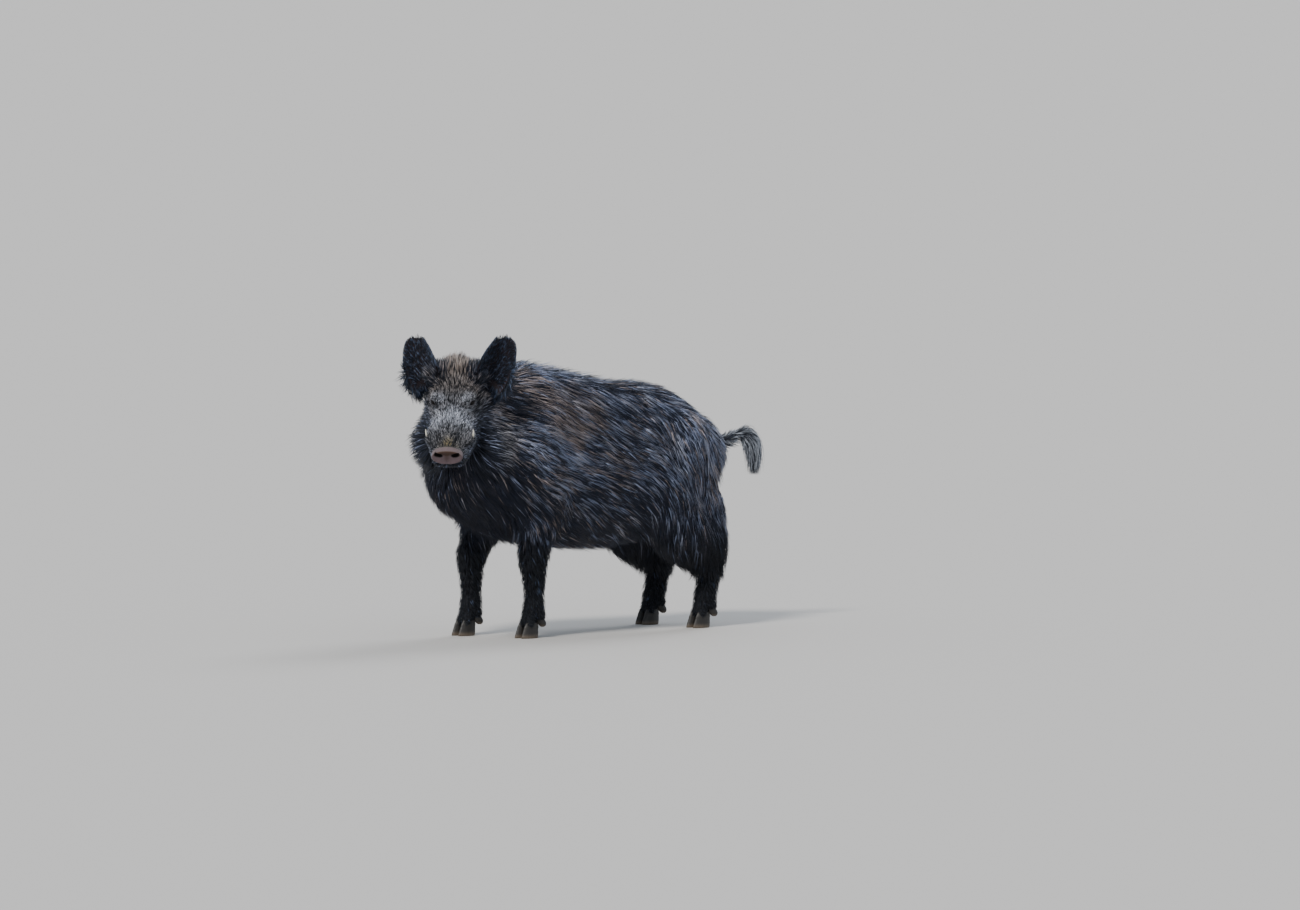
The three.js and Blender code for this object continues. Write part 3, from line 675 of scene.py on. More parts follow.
def parts(points):
    """Distance and coat depth for each named part of the body."""
    x, y, z = points.T
    found = {"trunk": loft(TRUNK, TRUNK_TAPER, y, x, z)}
    for label, legs in (("fore", FORE), ("hind", HIND)):
        for side in SIDES:
            joints = legs[side]
            box = reach_box(joints, LEG_MARGIN)
            found[label, side] = within(points, box, lambda p, j=joints: leg(*p.T, j))
            if label == "hind":
                ham = HAM[side]
                box = reach_box(ham, LEG_MARGIN)
                rear = within(points, box, lambda p, j=ham: chain(*p.T, j, LEG_FLATNESS, 1))
                found["ham", side] = rear
    found["neck"] = joined([limb(x, y, z, *ends) for ends in NECK], NECK_BLEND)
    found["head"] = within(points, FACE_BOX, lambda p: face(*into_head(p).T))
    for side in SIDES:
        found["ear", side] = within(points, EAR_BOXES[side], lambda p, s=side: ear(into_head(p), s))
    box = reach_box(TAIL, LEG_MARGIN)
    found["tail"] = within(points, box, lambda p: chain(*p.T, TAIL, 1, 8))
    return found


BLENDS = {"fore": LEG_BLEND, "hind": LEG_BLEND, "ham": LEG_BLEND, "neck": NECK_BLEND,
          "head": TRUNK_BLEND, "ear": 9, "tail": 16}


def whole(found):
    total = found["trunk"]
    for key, piece in found.items():
        if key != "trunk":
            total = join(total, piece, BLENDS[key if isinstance(key, str) else key[0]])
    return total


def skin(points):
    return whole(parts(points))


def slope_of(points, step=0.6):
    """Distance, coat depth and steepest direction at each point."""
    distance, coat = skin(points)
    slopes = []
    for axis in np.eye(3):
        ahead, _ = skin(points + axis * step)
        slopes.append((ahead - distance) / step)
    return distance, coat, np.stack(slopes, -1)


def settle(points, rounds):
    """Moves points onto the skin."""
    for _ in range(rounds):
        distance, _, slope = slope_of(points)
        square = np.maximum((slope**2).sum(1), 0.2)
        step = np.clip(distance / square, -2.0, 2.0)
        points = points - slope * step[:, None]
    return points


# --------------------------------------------------------------------- meshing

CELL = 2.5
BLOCK = 6
GRID_LOW = np.array([-205.0, -765.0, -37.5])
GRID_HIGH = np.array([330.0, 660.0, 860.0])
CHUNK = 400_000


def sampled():
    """The skin's distance on a fine grid, worked out only near the skin."""
    blocks = np.ceil((GRID_HIGH - GRID_LOW) / (CELL * BLOCK)).astype(int)
    size = CELL * BLOCK
    corners = np.stack(np.meshgrid(*[np.arange(n) for n in blocks], indexing="ij"), -1)
    corners = corners.reshape(-1, 3)
    middles = GRID_LOW + (corners + 0.5) * size
    coarse = np.concatenate([skin(part)[0] for part in np.array_split(middles, 8)])
    active = corners[np.abs(coarse) < size * 1.25]
    values = np.full(blocks * BLOCK, FAR, np.float32)
    filled = values.reshape(blocks[0], BLOCK, blocks[1], BLOCK, blocks[2], BLOCK)
    inner = corners[coarse < -size * 1.25]
    filled[inner[:, 0], :, inner[:, 1], :, inner[:, 2], :] = -FAR
    local = np.stack(np.meshgrid(*[np.arange(BLOCK)] * 3, indexing="ij"), -1).reshape(-1, 3)
    per_call = CHUNK // len(local)
    for first in range(0, len(active), per_call):
        some = active[first:first + per_call]
        at = GRID_LOW + (some[:, None] * BLOCK + local) * CELL
        found = skin(at.reshape(-1, 3))[0].reshape(-1, BLOCK, BLOCK, BLOCK)
        filled[some[:, 0], :, some[:, 1], :, some[:, 2], :] = found
    values[:, :, 0] = np.maximum(values[:, :, 0], 1.0)
    return values


def surface_net(values):
    """Points and quads of the zero surface: one point in each cell that it passes."""
    inside = values < 0
    shape = np.array(values.shape)
    count = np.zeros(shape - 1, np.uint8)
    for corner in np.ndindex(2, 2, 2):
        window = tuple(slice(c, n - 1 + c) for c, n in zip(corner, shape))
        count += inside[window]
    cells = np.argwhere((count > 0) & (count < 8))
    total = np.zeros((len(cells), 3))
    crossings = np.zeros(len(cells))
    axes = np.eye(3, dtype=int)
    for corner in np.ndindex(2, 2, 2):
        for axis in range(3):
            if corner[axis]:
                continue
            start = cells + corner
            end = start + axes[axis]
            here = values[tuple(start.T)]
            there = values[tuple(end.T)]
            cut = (here < 0) != (there < 0)
            t = np.where(cut, here / np.where(cut, here - there, 1), 0)
            total += cut[:, None] * (np.array(corner) + t[:, None] * axes[axis])
            crossings += cut
    points = GRID_LOW + (cells + total / crossings[:, None]) * CELL
    flat = np.ravel_multi_index(cells.T, shape)
    quads = []
    for axis in range(3):
        end = cells + axes[axis]
        here = inside[tuple(cells.T)]
        cut = here != inside[tuple(end.T)]
        b = axes[(axis + 1) % 3]
        c = axes[(axis + 2) % 3]
        base = cells[cut]
        ring = [base, base - b, base - b - c, base - c]
        ids = [np.searchsorted(flat, np.ravel_multi_index(cell.T, shape)) for cell in ring]
        quad = np.stack(ids, 1)
        outward = here[cut]
        quad[~outward] = quad[~outward][:, ::-1]
        quads.append(quad)
    return points, np.concatenate(quads)


# ----------------------------------------------------------------- small tools

# Large whole numbers that scramble the place of a cell into a random value.
SCRAMBLE = [73856093, 19349663, 83492791, 2654435761, 1274126177]


def lumps(points, size, seed):
    """Smooth random values from 0 to 1 that change over a size."""
    q = points / size + seed * 17.3
    cell = np.floor(q).astype(np.int64)
    t = q - cell
    t = t * t * (3 - 2 * t)
    total = np.zeros(len(points))
    for corner in np.ndindex(2, 2, 2):
        key = cell + np.array(corner)
        bits = seed * SCRAMBLE[3]
        for axis in range(3):
            bits = bits ^ key[:, axis] * SCRAMBLE[axis]
        bits = (bits ^ (bits >> 13)) * SCRAMBLE[4] & 0xFFFFFFFF
        value = (bits ^ (bits >> 16)) & 0xFFFF
        share = np.prod(np.where(np.array(corner), t, 1 - t), axis=1)
        total += share * value / 65535.0
    return total


def colour(code):
    """A hex colour as linear red, green and blue."""
    values = np.array([int(code[i:i + 2], 16) for i in (0, 2, 4)]) / 255
    return np.where(values <= 0.04045, values / 12.92, ((values + 0.055) / 1.055) ** 2.4)


def mixed(a, b, share):
    share = np.asarray(share)[..., None]
    return a + (b - a) * share


def make_mesh(name, points, faces, smooth=True):
    """A mesh object in metres from points in the animal's frame and faces of one size."""
    mesh = bpy.data.meshes.new(name)
    faces = np.asarray(faces)
    sides = faces.shape[1]
    mesh.vertices.add(len(points))
    mesh.vertices.foreach_set("co", to_metres(points).astype(np.float32).ravel())
    mesh.loops.add(faces.size)
    mesh.loops.foreach_set("vertex_index", faces.astype(np.int32).ravel())
    mesh.polygons.add(len(faces))
    mesh.polygons.foreach_set("loop_start", np.arange(0, faces.size, sides, dtype=np.int32))
    mesh.update(calc_edges=True)
    mesh.polygons.foreach_set("use_smooth", np.full(len(faces), smooth))
    piece = bpy.data.objects.new(name, mesh)
    bpy.context.scene.collection.objects.link(piece)
    return piece


def paint(mesh, name, values):
    layer = mesh.color_attributes.new(name, "FLOAT_COLOR", "POINT")
    rgba = np.ones((len(values), 4), np.float32)
    rgba[:, :3] = values
    layer.data.foreach_set("color", rgba.ravel())


# -------------------------------------------------------------------- markings

COAT_ROOT = colour("090b11")
COAT_DARK = colour("0d1526")
COAT_STEEL = colour("838eaa")
COAT_BROWN = colour("9a8c88")
COAT_PALE = colour("b6b9c8")
FACE_DARK = colour("12151b")
FACE_GREY = colour("7b7a7e")
FACE_PALE = colour("bfc3cf")
FACE_STRAW = colour("958767")
CROWN = colour("95877d")
CHEEK = colour("0f1521")
RUFF_TIP = colour("b4b0ac")
EAR_BLACK = colour("131b29")
EAR_STEEL = colour("434f66")
EAR_INSIDE = colour("2c2122")
LEG_BLACK = colour("10131a")
TAIL_GREY = colour("a4aab4")
LID_DARK = colour("1b1b1f")
LID_GREY = colour("4b4b51")
DISC_MAUVE = colour("5f5054")
DISC_RIM = colour("716568")
DISC_BROWN = colour("3e2b22")
# Painted shade inside the nostrils.
NOSTRIL_SHADE = colour("120e0e")


def weights(found):
    """How much each part holds at each point, from the parts' distances."""
    keys = list(found)
    distances = np.stack([found[key][0] for key in keys])
    power = np.exp(-np.clip((distances - distances.min(0)) / 11, 0, 40))
    power /= power.sum(0)
    merged = {}
    for key, share in zip(keys, power):
        label = key if isinstance(key, str) else key[0]
        merged[label] = merged.get(label, 0) + share
    return merged


# Sizes of the coat's clouds and flecks, each with the seed of its random values.
CLOUDS = (85, 3)
FLECKS = (24, 5)
STREAKS = (9, 4)
SPECKLE = (5, 21)
MOST_PALE = 0.9

FACE_SHARE = 0.34
# The muzzle and bridge are paler where they face up: their own grizzled grey and painted light from above.
FACE_PALER = {"muzzle": 0.22, "bridge": 0.36, "crown": 0.32, "forehead": 0.2, "brow": 0.45,
              "under_eye": 0.45}
FACE_MARKS = {"mark": 1, "mark_beside": 1}
FACE_EDGES = {"ruff_front": 0.26, "lid": 0.17, "inner_lid": 0.17}
# Pale colours of the face, each laid over the last where its regions are.
FACE_LAYERS = [
    (FACE_PALE, {"bridge": 1, "brow": 0.6, "under_eye": 0.6}),
    (CROWN, {"crown": 1, "forehead": 0.5}),
    (FACE_STRAW, {"straw": 1}),
    (COAT_STEEL, {"cheek": 1}),
    (RUFF_TIP, {"cheek_ruff": 0.6}),
    (FACE_PALE, {"lid": 0.4}),
]
BODY_SHARE = 0.36
# Where fewer hairs are pale, and by how much.
BODY_DARKER = {"low_flank": 0.4, "valley": 0.6, "chest": 0.9, "belly": 0.6}


def face_tones(points, at):
    """Dark and pale colours of the face's hair, and the share of pale ones."""
    pale = FACE_GREY
    for tint, amounts in FACE_LAYERS:
        pale = mixed(pale, tint, np.clip(total(at, amounts), 0, 1))
    cheek = at("cheek")
    share = FACE_SHARE + total(at, FACE_PALER)
    share = share * (1 - 0.75 * cheek) * (1 - 0.85 * np.clip(total(at, FACE_MARKS), 0, 1))
    share = share + total(at, FACE_EDGES)
    speckle = ramp(lumps(points, *SPECKLE), 0.25, 0.75)
    share = share * (0.4 + 1.2 * speckle) * (1 - 0.75 * at("throat"))
    return mixed(FACE_DARK, CHEEK, cheek), pale, np.clip(share, 0, MOST_PALE)


def tones(points, normals, held):
    """Dark and pale colours of the hair, and the share of pale hairs."""
    at = regions_at(points, normals)
    flecks = lumps(points, *FLECKS)
    upper = at("upper")
    brown = 0.22 + ramp(lumps(points, *CLOUDS), 0.3, 0.75) * (0.2 + 0.25 * upper)
    brown = ramp(lumps(points, *STREAKS), 0.85 - brown, 1.05 - brown)
    pale = mixed(COAT_STEEL, COAT_BROWN, brown)
    pale = mixed(pale, COAT_PALE, 0.6 * ramp(flecks, 0.5, 0.9))
    share = BODY_SHARE + 0.2 * upper * at("shoulder") + 0.14 * at("haunch")
    share = share * (0.7 + 0.6 * ramp(flecks, 0.25, 0.8)) * (1 - BODY_DARKER["low_flank"] * at("low_flank"))
    margin = at("ruff_margin")
    share = share + 0.2 * margin
    pale = mixed(pale, RUFF_TIP, margin)
    for name in ("valley", "chest", "belly"):
        share = share * (1 - BODY_DARKER[name] * at(name))
    # Painted shadow behind the ear and behind the ruff: most pale hairs there turn dark.
    share = share * (1 - 0.85 * np.clip(at("behind_ear") + at("behind_ruff"), 0, 1))
    lower = at("lower_leg") * (held["fore"] + held["hind"] + held["ham"])
    share = share * (1 - 0.88 * lower)
    dark = mixed(COAT_DARK, LEG_BLACK, lower)
    pale = mixed(pale, EAR_STEEL, lower)

    face_dark, face_pale, face_share = face_tones(points, at)
    dark = mixed(dark, face_dark, held["head"])
    pale = mixed(pale, face_pale, held["head"])
    share = share + (face_share - share) * held["head"]
    near_ear = ramp(held["ear"], 0.01, 0.1) * held["head"]
    share = share * (1 - 0.95 * near_ear)
    dark = mixed(dark, EAR_BLACK, near_ear)
    for label, tint, pale_tint, amount in (
        ("ear", EAR_BLACK, EAR_STEEL, 0.26),
        ("tail", COAT_DARK, TAIL_GREY, 0.35),
    ):
        dark = mixed(dark, tint, held[label])
        pale = mixed(pale, pale_tint, held[label])
        share = share + (amount - share) * held[label]
    return dark, pale, np.clip(share, 0, MOST_PALE)


# ------------------------------------------------------------------ materials


def principled(name, **values):
    """A new material with plain numbers on its shader's sockets, its nodes and its shader."""
    material = bpy.data.materials.new(name)
    material.use_nodes = True
    shader = material.node_tree.nodes["Principled BSDF"]
    for socket, value in values.items():
        shader.inputs[socket.replace("_", " ")].default_value = value
    return material, material.node_tree, shader


def add_node(tree, kind, inputs=(), **settings):
    node = tree.nodes.new(kind)
    for setting, value in settings.items():
        setattr(node, setting, value)
    for socket, value in dict(inputs).items():
        if isinstance(value, bpy.types.NodeSocket):
            tree.links.new(value, node.inputs[socket])
        else:
            node.inputs[socket].default_value = value
    return node


def attribute(tree, name):
    return add_node(tree, "ShaderNodeAttribute", attribute_name=name)


def maths(tree, operation, a, b=0.0, c=0.0):
    return add_node(tree, "ShaderNodeMath", {0: a, 1: b, 2: c}, operation=operation).outputs[0]


def scaled(tree, value, gain, base):
    return maths(tree, "MULTIPLY_ADD", value, gain, base)


def noise(tree, scale, detail, stretch=(1, 1, 1)):
    place = add_node(tree, "ShaderNodeTexCoord").outputs["Object"]
    fitted = add_node(tree, "ShaderNodeMapping", {"Vector": place, "Scale": stretch})
    inputs = {"Vector": fitted.outputs[0], "Scale": scale, "Detail": detail}
    return add_node(tree, "ShaderNodeTexNoise", inputs).outputs["Fac"]


def mixed_colour(tree, share, a, b):
    node = add_node(tree, "ShaderNodeMix", data_type="RGBA")
    for socket, value in (("Factor", share), ("A", a), ("B", b)):
        names = [s for s in node.inputs if s.name == socket and s.enabled]
        if isinstance(value, bpy.types.NodeSocket):
            tree.links.new(value, names[0])
        else:
            names[0].default_value = value
    return [s for s in node.outputs if s.enabled][0]


def bump(tree, shader, height, strength, distance):
    inputs = {"Height": height, "Strength": strength, "Distance": distance}
    node = add_node(tree, "ShaderNodeBump", inputs)
    tree.links.new(node.outputs[0], shader.inputs["Normal"])


def tinted(tree, shader, factor):
    """The mesh's own tint times a factor, as the shader's colour."""
    tint = attribute(tree, "tint").outputs["Color"]
    product = add_node(tree, "ShaderNodeVectorMath", {0: tint, 1: factor}, operation="MULTIPLY")
    tree.links.new(product.outputs[0], shader.inputs["Base Color"])


def coat_material():
    """Bristle: the tuft's own colour with a fine change along it."""
    material, tree, shader = principled("boar_coat", Roughness=0.5, IOR=1.45)
    shader.inputs["Specular IOR Level"].default_value = 0.42
    strands = noise(tree, scale=900.0, detail=1.0)
    tinted(tree, shader, scaled(tree, strands, gain=0.9, base=0.55))
    bump(tree, shader, strands, strength=0.4, distance=0.0006)
    return material


def skin_material():
    """Short grizzled hair on the skin, and bare leather on the snout and lips."""
    material, tree, shader = principled("boar_skin", IOR=1.45)
    shader.inputs["Specular IOR Level"].default_value = 0.3
    bare = attribute(tree, "bare").outputs["Fac"]
    grizzle = attribute(tree, "grizzle").outputs["Fac"]
    dark = attribute(tree, "dark").outputs["Color"]
    pale = attribute(tree, "pale").outputs["Color"]
    speckle = noise(tree, scale=700.0, detail=2.5)
    level = scaled(tree, grizzle, gain=0.42, base=0.29)
    sharp = maths(tree, "MULTIPLY", maths(tree, "SUBTRACT", level, speckle), 9.0)
    hair_share = maths(tree, "MINIMUM", maths(tree, "MAXIMUM", maths(tree, "ADD", sharp, 0.5)), 1.0)
    hair = mixed_colour(tree, hair_share, dark, pale)
    mottle = noise(tree, scale=130.0, detail=3.0)
    leather = mixed_colour(tree, mottle, dark, pale)
    tree.links.new(mixed_colour(tree, bare, hair, leather), shader.inputs["Base Color"])
    rough = scaled(tree, bare, gain=-0.32, base=0.72)
    tree.links.new(scaled(tree, mottle, gain=0.16, base=rough), shader.inputs["Roughness"])
    pores = noise(tree, scale=700.0, detail=2.0)
    bump(tree, shader, maths(tree, "ADD", speckle, pores), strength=0.5, distance=0.0009)
    return material


def horn_material():
    """Dark hoof horn with growth rings and a paler worn edge."""
    material, tree, shader = principled("boar_horn", IOR=1.5)
    rings = noise(tree, scale=60.0, detail=3.0, stretch=(1, 1, 7))
    streaks = noise(tree, scale=300.0, detail=2.0, stretch=(1, 1, 0.15))
    tinted(tree, shader, scaled(tree, streaks, gain=0.8, base=0.6))
    tree.links.new(scaled(tree, rings, gain=0.3, base=0.35), shader.inputs["Roughness"])
    bump(tree, shader, maths(tree, "ADD", rings, streaks), strength=0.5, distance=0.0012)
    return material


def tusk_material():
    """Ivory, yellower and ringed towards the gum."""
    material, tree, shader = principled("boar_tusk", IOR=1.54)
    grain = noise(tree, scale=240.0, detail=3.0)
    tinted(tree, shader, scaled(tree, grain, gain=0.35, base=0.82))
    tree.links.new(scaled(tree, grain, gain=0.2, base=0.18), shader.inputs["Roughness"])
    bump(tree, shader, grain, strength=0.25, distance=0.0004)
    return material


def eye_material():
    """A dark wet eye: a brown iris round a black pupil, under a clear cornea."""
    material, tree, shader = principled("boar_eye", Roughness=0.05, IOR=1.34)
    shader.inputs["Specular IOR Level"].default_value = 0.3
    tinted(tree, shader, scaled(tree, noise(tree, scale=1500.0, detail=2.0), gain=0.9, base=0.5))
    return material


# -------------------------------------------------------------------- the skin

BODY_TRIANGLES = 90_000
SNOUT_FINE = [170, 62, -75]
EYE_FINE = 25
FACE_FROM = -45
FACE_SIDE = 110
FACE_RISE = [-120, 60]
FLESH = ["head", "muzzle", "lower_jaw", "snout_disc", "left_ear", "right_ear", "neck", "trunk",
         "tail", "tail_switch"]
FLESH += [f"{side}_fore_{part}" for side in ("left", "right") for part in ("arm", "cannon", "pastern")]
FLESH += [f"{side}_hind_{part}" for side in ("left", "right")
          for part in ("thigh", "shank", "cannon", "pastern")]


def mesh_points(mesh):
    flat = np.empty(len(mesh.vertices) * 3)
    mesh.vertices.foreach_get("co", flat)
    return flat.reshape(-1, 3) / MM - SHIFT


def mesh_normals(mesh):
    flat = np.empty(len(mesh.vertices) * 3, np.float32)
    mesh.vertex_normals.foreach_get("vector", flat)
    return flat.reshape(-1, 3).astype(float)


def needs_detail(points):
    """The snout and the eyes, where the skin's mesh is made finer."""
    f, _, u, side = head_place(points)
    _, reach = off_eye(f, side, u)
    return ((f > SNOUT_FINE[0]) & (side < SNOUT_FINE[1]) & (u > SNOUT_FINE[2])) | (reach < EYE_FINE)


def refined(piece):
    """Halves the skin's cells where it needs detail, and settles them on the skin."""
    mesh = piece.data
    chosen = needs_detail(mesh_points(mesh))
    net = bmesh.new()
    net.from_mesh(mesh)
    net.verts.ensure_lookup_table()
    edges = [e for e in net.edges if chosen[e.verts[0].index] and chosen[e.verts[1].index]]
    bmesh.ops.subdivide_edges(net, edges=edges, cuts=1, use_grid_fill=True)
    bmesh.ops.triangulate(net, faces=net.faces)
    net.to_mesh(mesh)
    net.free()
    points = mesh_points(mesh)
    chosen = needs_detail(points)
    points[chosen] = settle(points[chosen], 3)
    mesh.vertices.foreach_set("co", to_metres(points).ravel())


def thinned(piece):
    """Drops skin cells that the coat hides, and keeps those of the face."""
    mesh = piece.data
    points = mesh_points(mesh)
    f, _, u, side = head_place(points)
    kept = (f > FACE_FROM) & (side < FACE_SIDE) & (u > FACE_RISE[0]) & (u < FACE_RISE[1])
    group = piece.vertex_groups.new(name="hidden")
    group.add(np.flatnonzero(~kept).tolist(), 1.0, "REPLACE")
    corners = np.empty(len(mesh.loops), np.int32)
    mesh.loops.foreach_get("vertex_index", corners)
    kept_faces = int(kept[corners.reshape(-1, 3)].all(1).sum())
    modifier = piece.modifiers.new("thin", "DECIMATE")
    modifier.ratio = (kept_faces + BODY_TRIANGLES) / len(mesh.polygons)
    modifier.vertex_group = "hidden"
    made = bpy.data.meshes.new_from_object(piece.evaluated_get(bpy.context.evaluated_depsgraph_get()))
    piece.modifiers.clear()
    piece.vertex_groups.clear()
    piece.data = made
    made.name = "boar_skin"


def bareness(points):
    """How bare the skin is: the disc, the nostrils and the edges of the lids."""
    f, _, u, side = head_place(points)
    disc, nostril = snout_disc(f, side, u)
    slit, reach = eye_slit(f, side, u)
    lid = ramp(slit, -2.6, -1.2) * region("bare_lid", {"reach": reach})
    on_disc = ramp(disc, 2.4, 0.8) * ramp(f, 207, 212)
    return np.clip(on_disc + lid, 0, 1), on_disc, nostril


def paint_skin(piece):
    mesh = piece.data
    points = mesh_points(mesh)
    normals = mesh_normals(mesh)
    held = weights(parts(points))
    dark, pale, share = tones(points, normals, held)
    # Fewer pale specks on the skin, and where the coat hides it the skin goes towards the roots' dark: the
    # skin's own dark colour and painted shade between the tufts.
    hidden = 1 - held["head"]
    share = share * (0.5 - 0.3 * hidden)
    dark = mixed(dark, COAT_ROOT, 0.7 * hidden)
    dark = mixed(dark, EAR_INSIDE, held["ear"] * 0.7)
    bare, on_disc, nostril = bareness(points)
    at = regions_at(points, normals)
    leather = mixed(DISC_MAUVE, DISC_BROWN, np.clip(at("disc_top") + 0.6 * at("disc_cleft"), 0, 1))
    front = ramp(normals @ FORWARD, 0.2, 0.75)
    leather = mixed(DISC_RIM, leather, 0.35 + 0.65 * front)
    # Painted shade: the nostrils and their edges turn near-black.
    leather = mixed(leather, NOSTRIL_SHADE, ramp(nostril, 2.5, -0.3))
    dark = mixed(dark, leather * 0.72, on_disc)
    pale = mixed(pale, leather * 1.18, on_disc)
    lids = bare * (1 - on_disc)
    dark = mixed(dark, LID_DARK, lids)
    pale = mixed(pale, LID_GREY, lids)
    paint(mesh, "dark", dark)
    paint(mesh, "pale", pale)
    for name, values in (("grizzle", share), ("bare", bare)):
        layer = mesh.attributes.new(name, "FLOAT", "POINT")
        layer.data.foreach_set("value", values.astype(np.float32))


def build_skin():
    """The skin's object, and the fine net that the coat grows from."""
    points, quads = surface_net(sampled())
    points = settle(points, 2)
    piece = make_mesh("boar_skin", points, quads)
    refined(piece)
    thinned(piece)
    paint_skin(piece)
    piece.data.materials.clear()
    piece.data.materials.append(skin_material())
    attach(piece, "root")
    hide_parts(*FLESH)
    return points, quads


# -------------------------------------------------------------------- the coat

LENGTH_PER_DEPTH = 2.5
LENGTH_LIMITS = [6, 92]
TUFT_WIDTH = [1.0, 0.016]
TUFT_SPACING = [3.4, 0.004]
FACE_SPACING = 0.74
LEG_SPACING = 1.16
THICKNESS = 0.45
CLUMP = 0.5
CLUMP_REACH = 8
CLUMP_EDGE = [0.9, 0.3]
LEADERS = 4
STATIONS = np.array([0.0, 0.3, 0.66, 1.0])
LONG_WIDTHS = [0.7, 1.0, 0.66]
SHORT_WIDTHS = [0.8, 1.0]
SHORT_MIDDLE = 0.4
ROOT_DEPTH = 1.2
PATCH = 0.003
EYE_SPACING = 0.65
MOST_BARE = 0.2
HAIR_ABOVE_FLOOR = 34
TIP_ABOVE_FLOOR = 2
EAR_FRINGE = 26
UNDERCOAT = 0.3
STRAYS = 0.05
STRAY_RISE = 1.2
TUSK_TUFT = [8, 6]
# A few long bristles: their share, where they stand, and their size.
WHISKERS = 0.006
BRISTLES = {"snout_bristles": 4, "chin_bristles": 6, "brow_bristles": 12}
WHISKER_LENGTH = [26, 22]
WHISKER_RISE = 0.45
WHISKER_WIDTH = 0.8
BREECH_LENGTH = 22
BREECH_WAY = np.array([0, 0.1, -1.0])
# How the tufts sway together: size and seed.
WIDE_SWAY = (60, 11)
CLOSE_SWAY = (17, 12)
FOLLOW_LIMITS = [-14, 30]
SAG = 0.05
SAG_FROM = 40
SAG_OVER = 60
ALIKE = 0.55
ALIKE_ON_HEAD = 0.15
# The axes that the coat is charted round, and where the flank begins.
BODY_AXIS = 480
HEAD_AXIS = -50
TAIL_AXIS = 500
FLANK_FROM = 20


def ear_fringes(t, turned):
    """How much of a long fringe an ear's outer edge carries, and its foot."""
    edge = ramp(turned, 0.5, 0.95) * ramp(t, 0.62, 0.27)
    foot = ramp(turned, -0.5, -0.2) * ramp(t, 0.14, -0.02)
    return edge, foot


def ways_of(*parts_of_way):
    """Directions from their three parts, of which any may be one number for all."""
    return np.stack(np.broadcast_arrays(*parts_of_way), 1)


def lie(points, normals, held):
    """The way the hair lies, before it is laid on the skin."""
    at = regions_at(points, normals)
    f, l, u, side = head_place(points)
    one = np.ones(len(points))
    croup = at("croup")
    crest = at("crest")
    ahead = 1 - 0.55 * croup
    fall = (-0.56 - 0.5 * croup - 0.1 * at("low_body") - 1.1 * at("back")) * (1 - 0.9 * crest)
    chest = at("low_neck")
    arm = at("upper_arm")
    cheek = at("jowl")
    nape = at("nape") * (1 - cheek)
    turned = np.clip(l / 60, -1, 1)
    head = ways_of(-1 + 0.45 * cheek, turned * (0.12 + 0.3 * cheek),
                   0.05 - 0.7 * cheek + 0.15 * nape + 0.2 * at("over_eye"))
    from_eye, reach = off_eye(f, side, u)
    away = from_eye / reach[:, None] * ways_of(one, np.sign(l), 1)
    head = (head + away * at("round_eye")[:, None]) @ HEAD_AXES
    neck = ways_of(-0.1 * one, 0.82 - 0.6 * chest, -0.5 - 0.45 * chest)
    ways = {
        "trunk": ways_of(0.05 * np.sign(points[:, 0]), ahead + (1 - ahead) * crest, fall),
        "neck": mixed(neck, np.array([-0.15, 0.98, -0.1]), crest),
        "fore": ways_of(0, 0.32 + 0.55 * arm, -0.95 + 0.5 * arm),
        "hind": ways_of(0 * one, 0.2, -0.98),
        "ham": ways_of(0 * one, 0.2, -0.98),
        "head": head,
        "tail": ways_of(0, 0.97, 0.2 - 0.5 * at("tail_end")),
    }
    whole_way = sum(way * held[label][:, None] for label, way in ways.items())
    for ear_side, chosen in ((1, l > 0), (-1, l <= 0)):
        _, axis, across, _, _ = EARS[ear_side]
        t, angle, _, _, wrap, _ = ear_place(np.stack([f, l, u], 1), ear_side)
        bend = np.clip(angle / wrap, -1, 1)
        way = axis + across * (bend * np.abs(bend))[:, None] * 0.9
        fringe, foot = ear_fringes(t, bend * ear_side)
        way = mixed(way, across * ear_side - 0.35 * axis, fringe)
        way = mixed(way, -axis, foot)
        whole_way += (way @ HEAD_AXES) * (held["ear"] * chosen)[:, None]
    return whole_way


def laid(ways, normals):
    """Ways turned to lie along the skin."""
    along = ways - normals * (ways * normals).sum(1)[:, None]
    return unit(along + 1e-6)


def ear_edge(points, held):
    """How near a place is to the open edge of an ear, more so at its outer foot."""
    head = into_head(points)
    edge = np.zeros(len(points))
    for side in SIDES:
        t, angle, _, _, wrap, _ = ear_place(head, side)
        turned = side * angle / wrap
        fringe = np.maximum(*ear_fringes(t, turned))
        found = 0.3 * ramp(np.abs(turned), 0.7, 1.0) + 0.15 * ramp(t, 0.8, 1) + fringe
        edge = np.where(head[:, 1] * side > 0, found, edge)
    return edge * held["ear"]


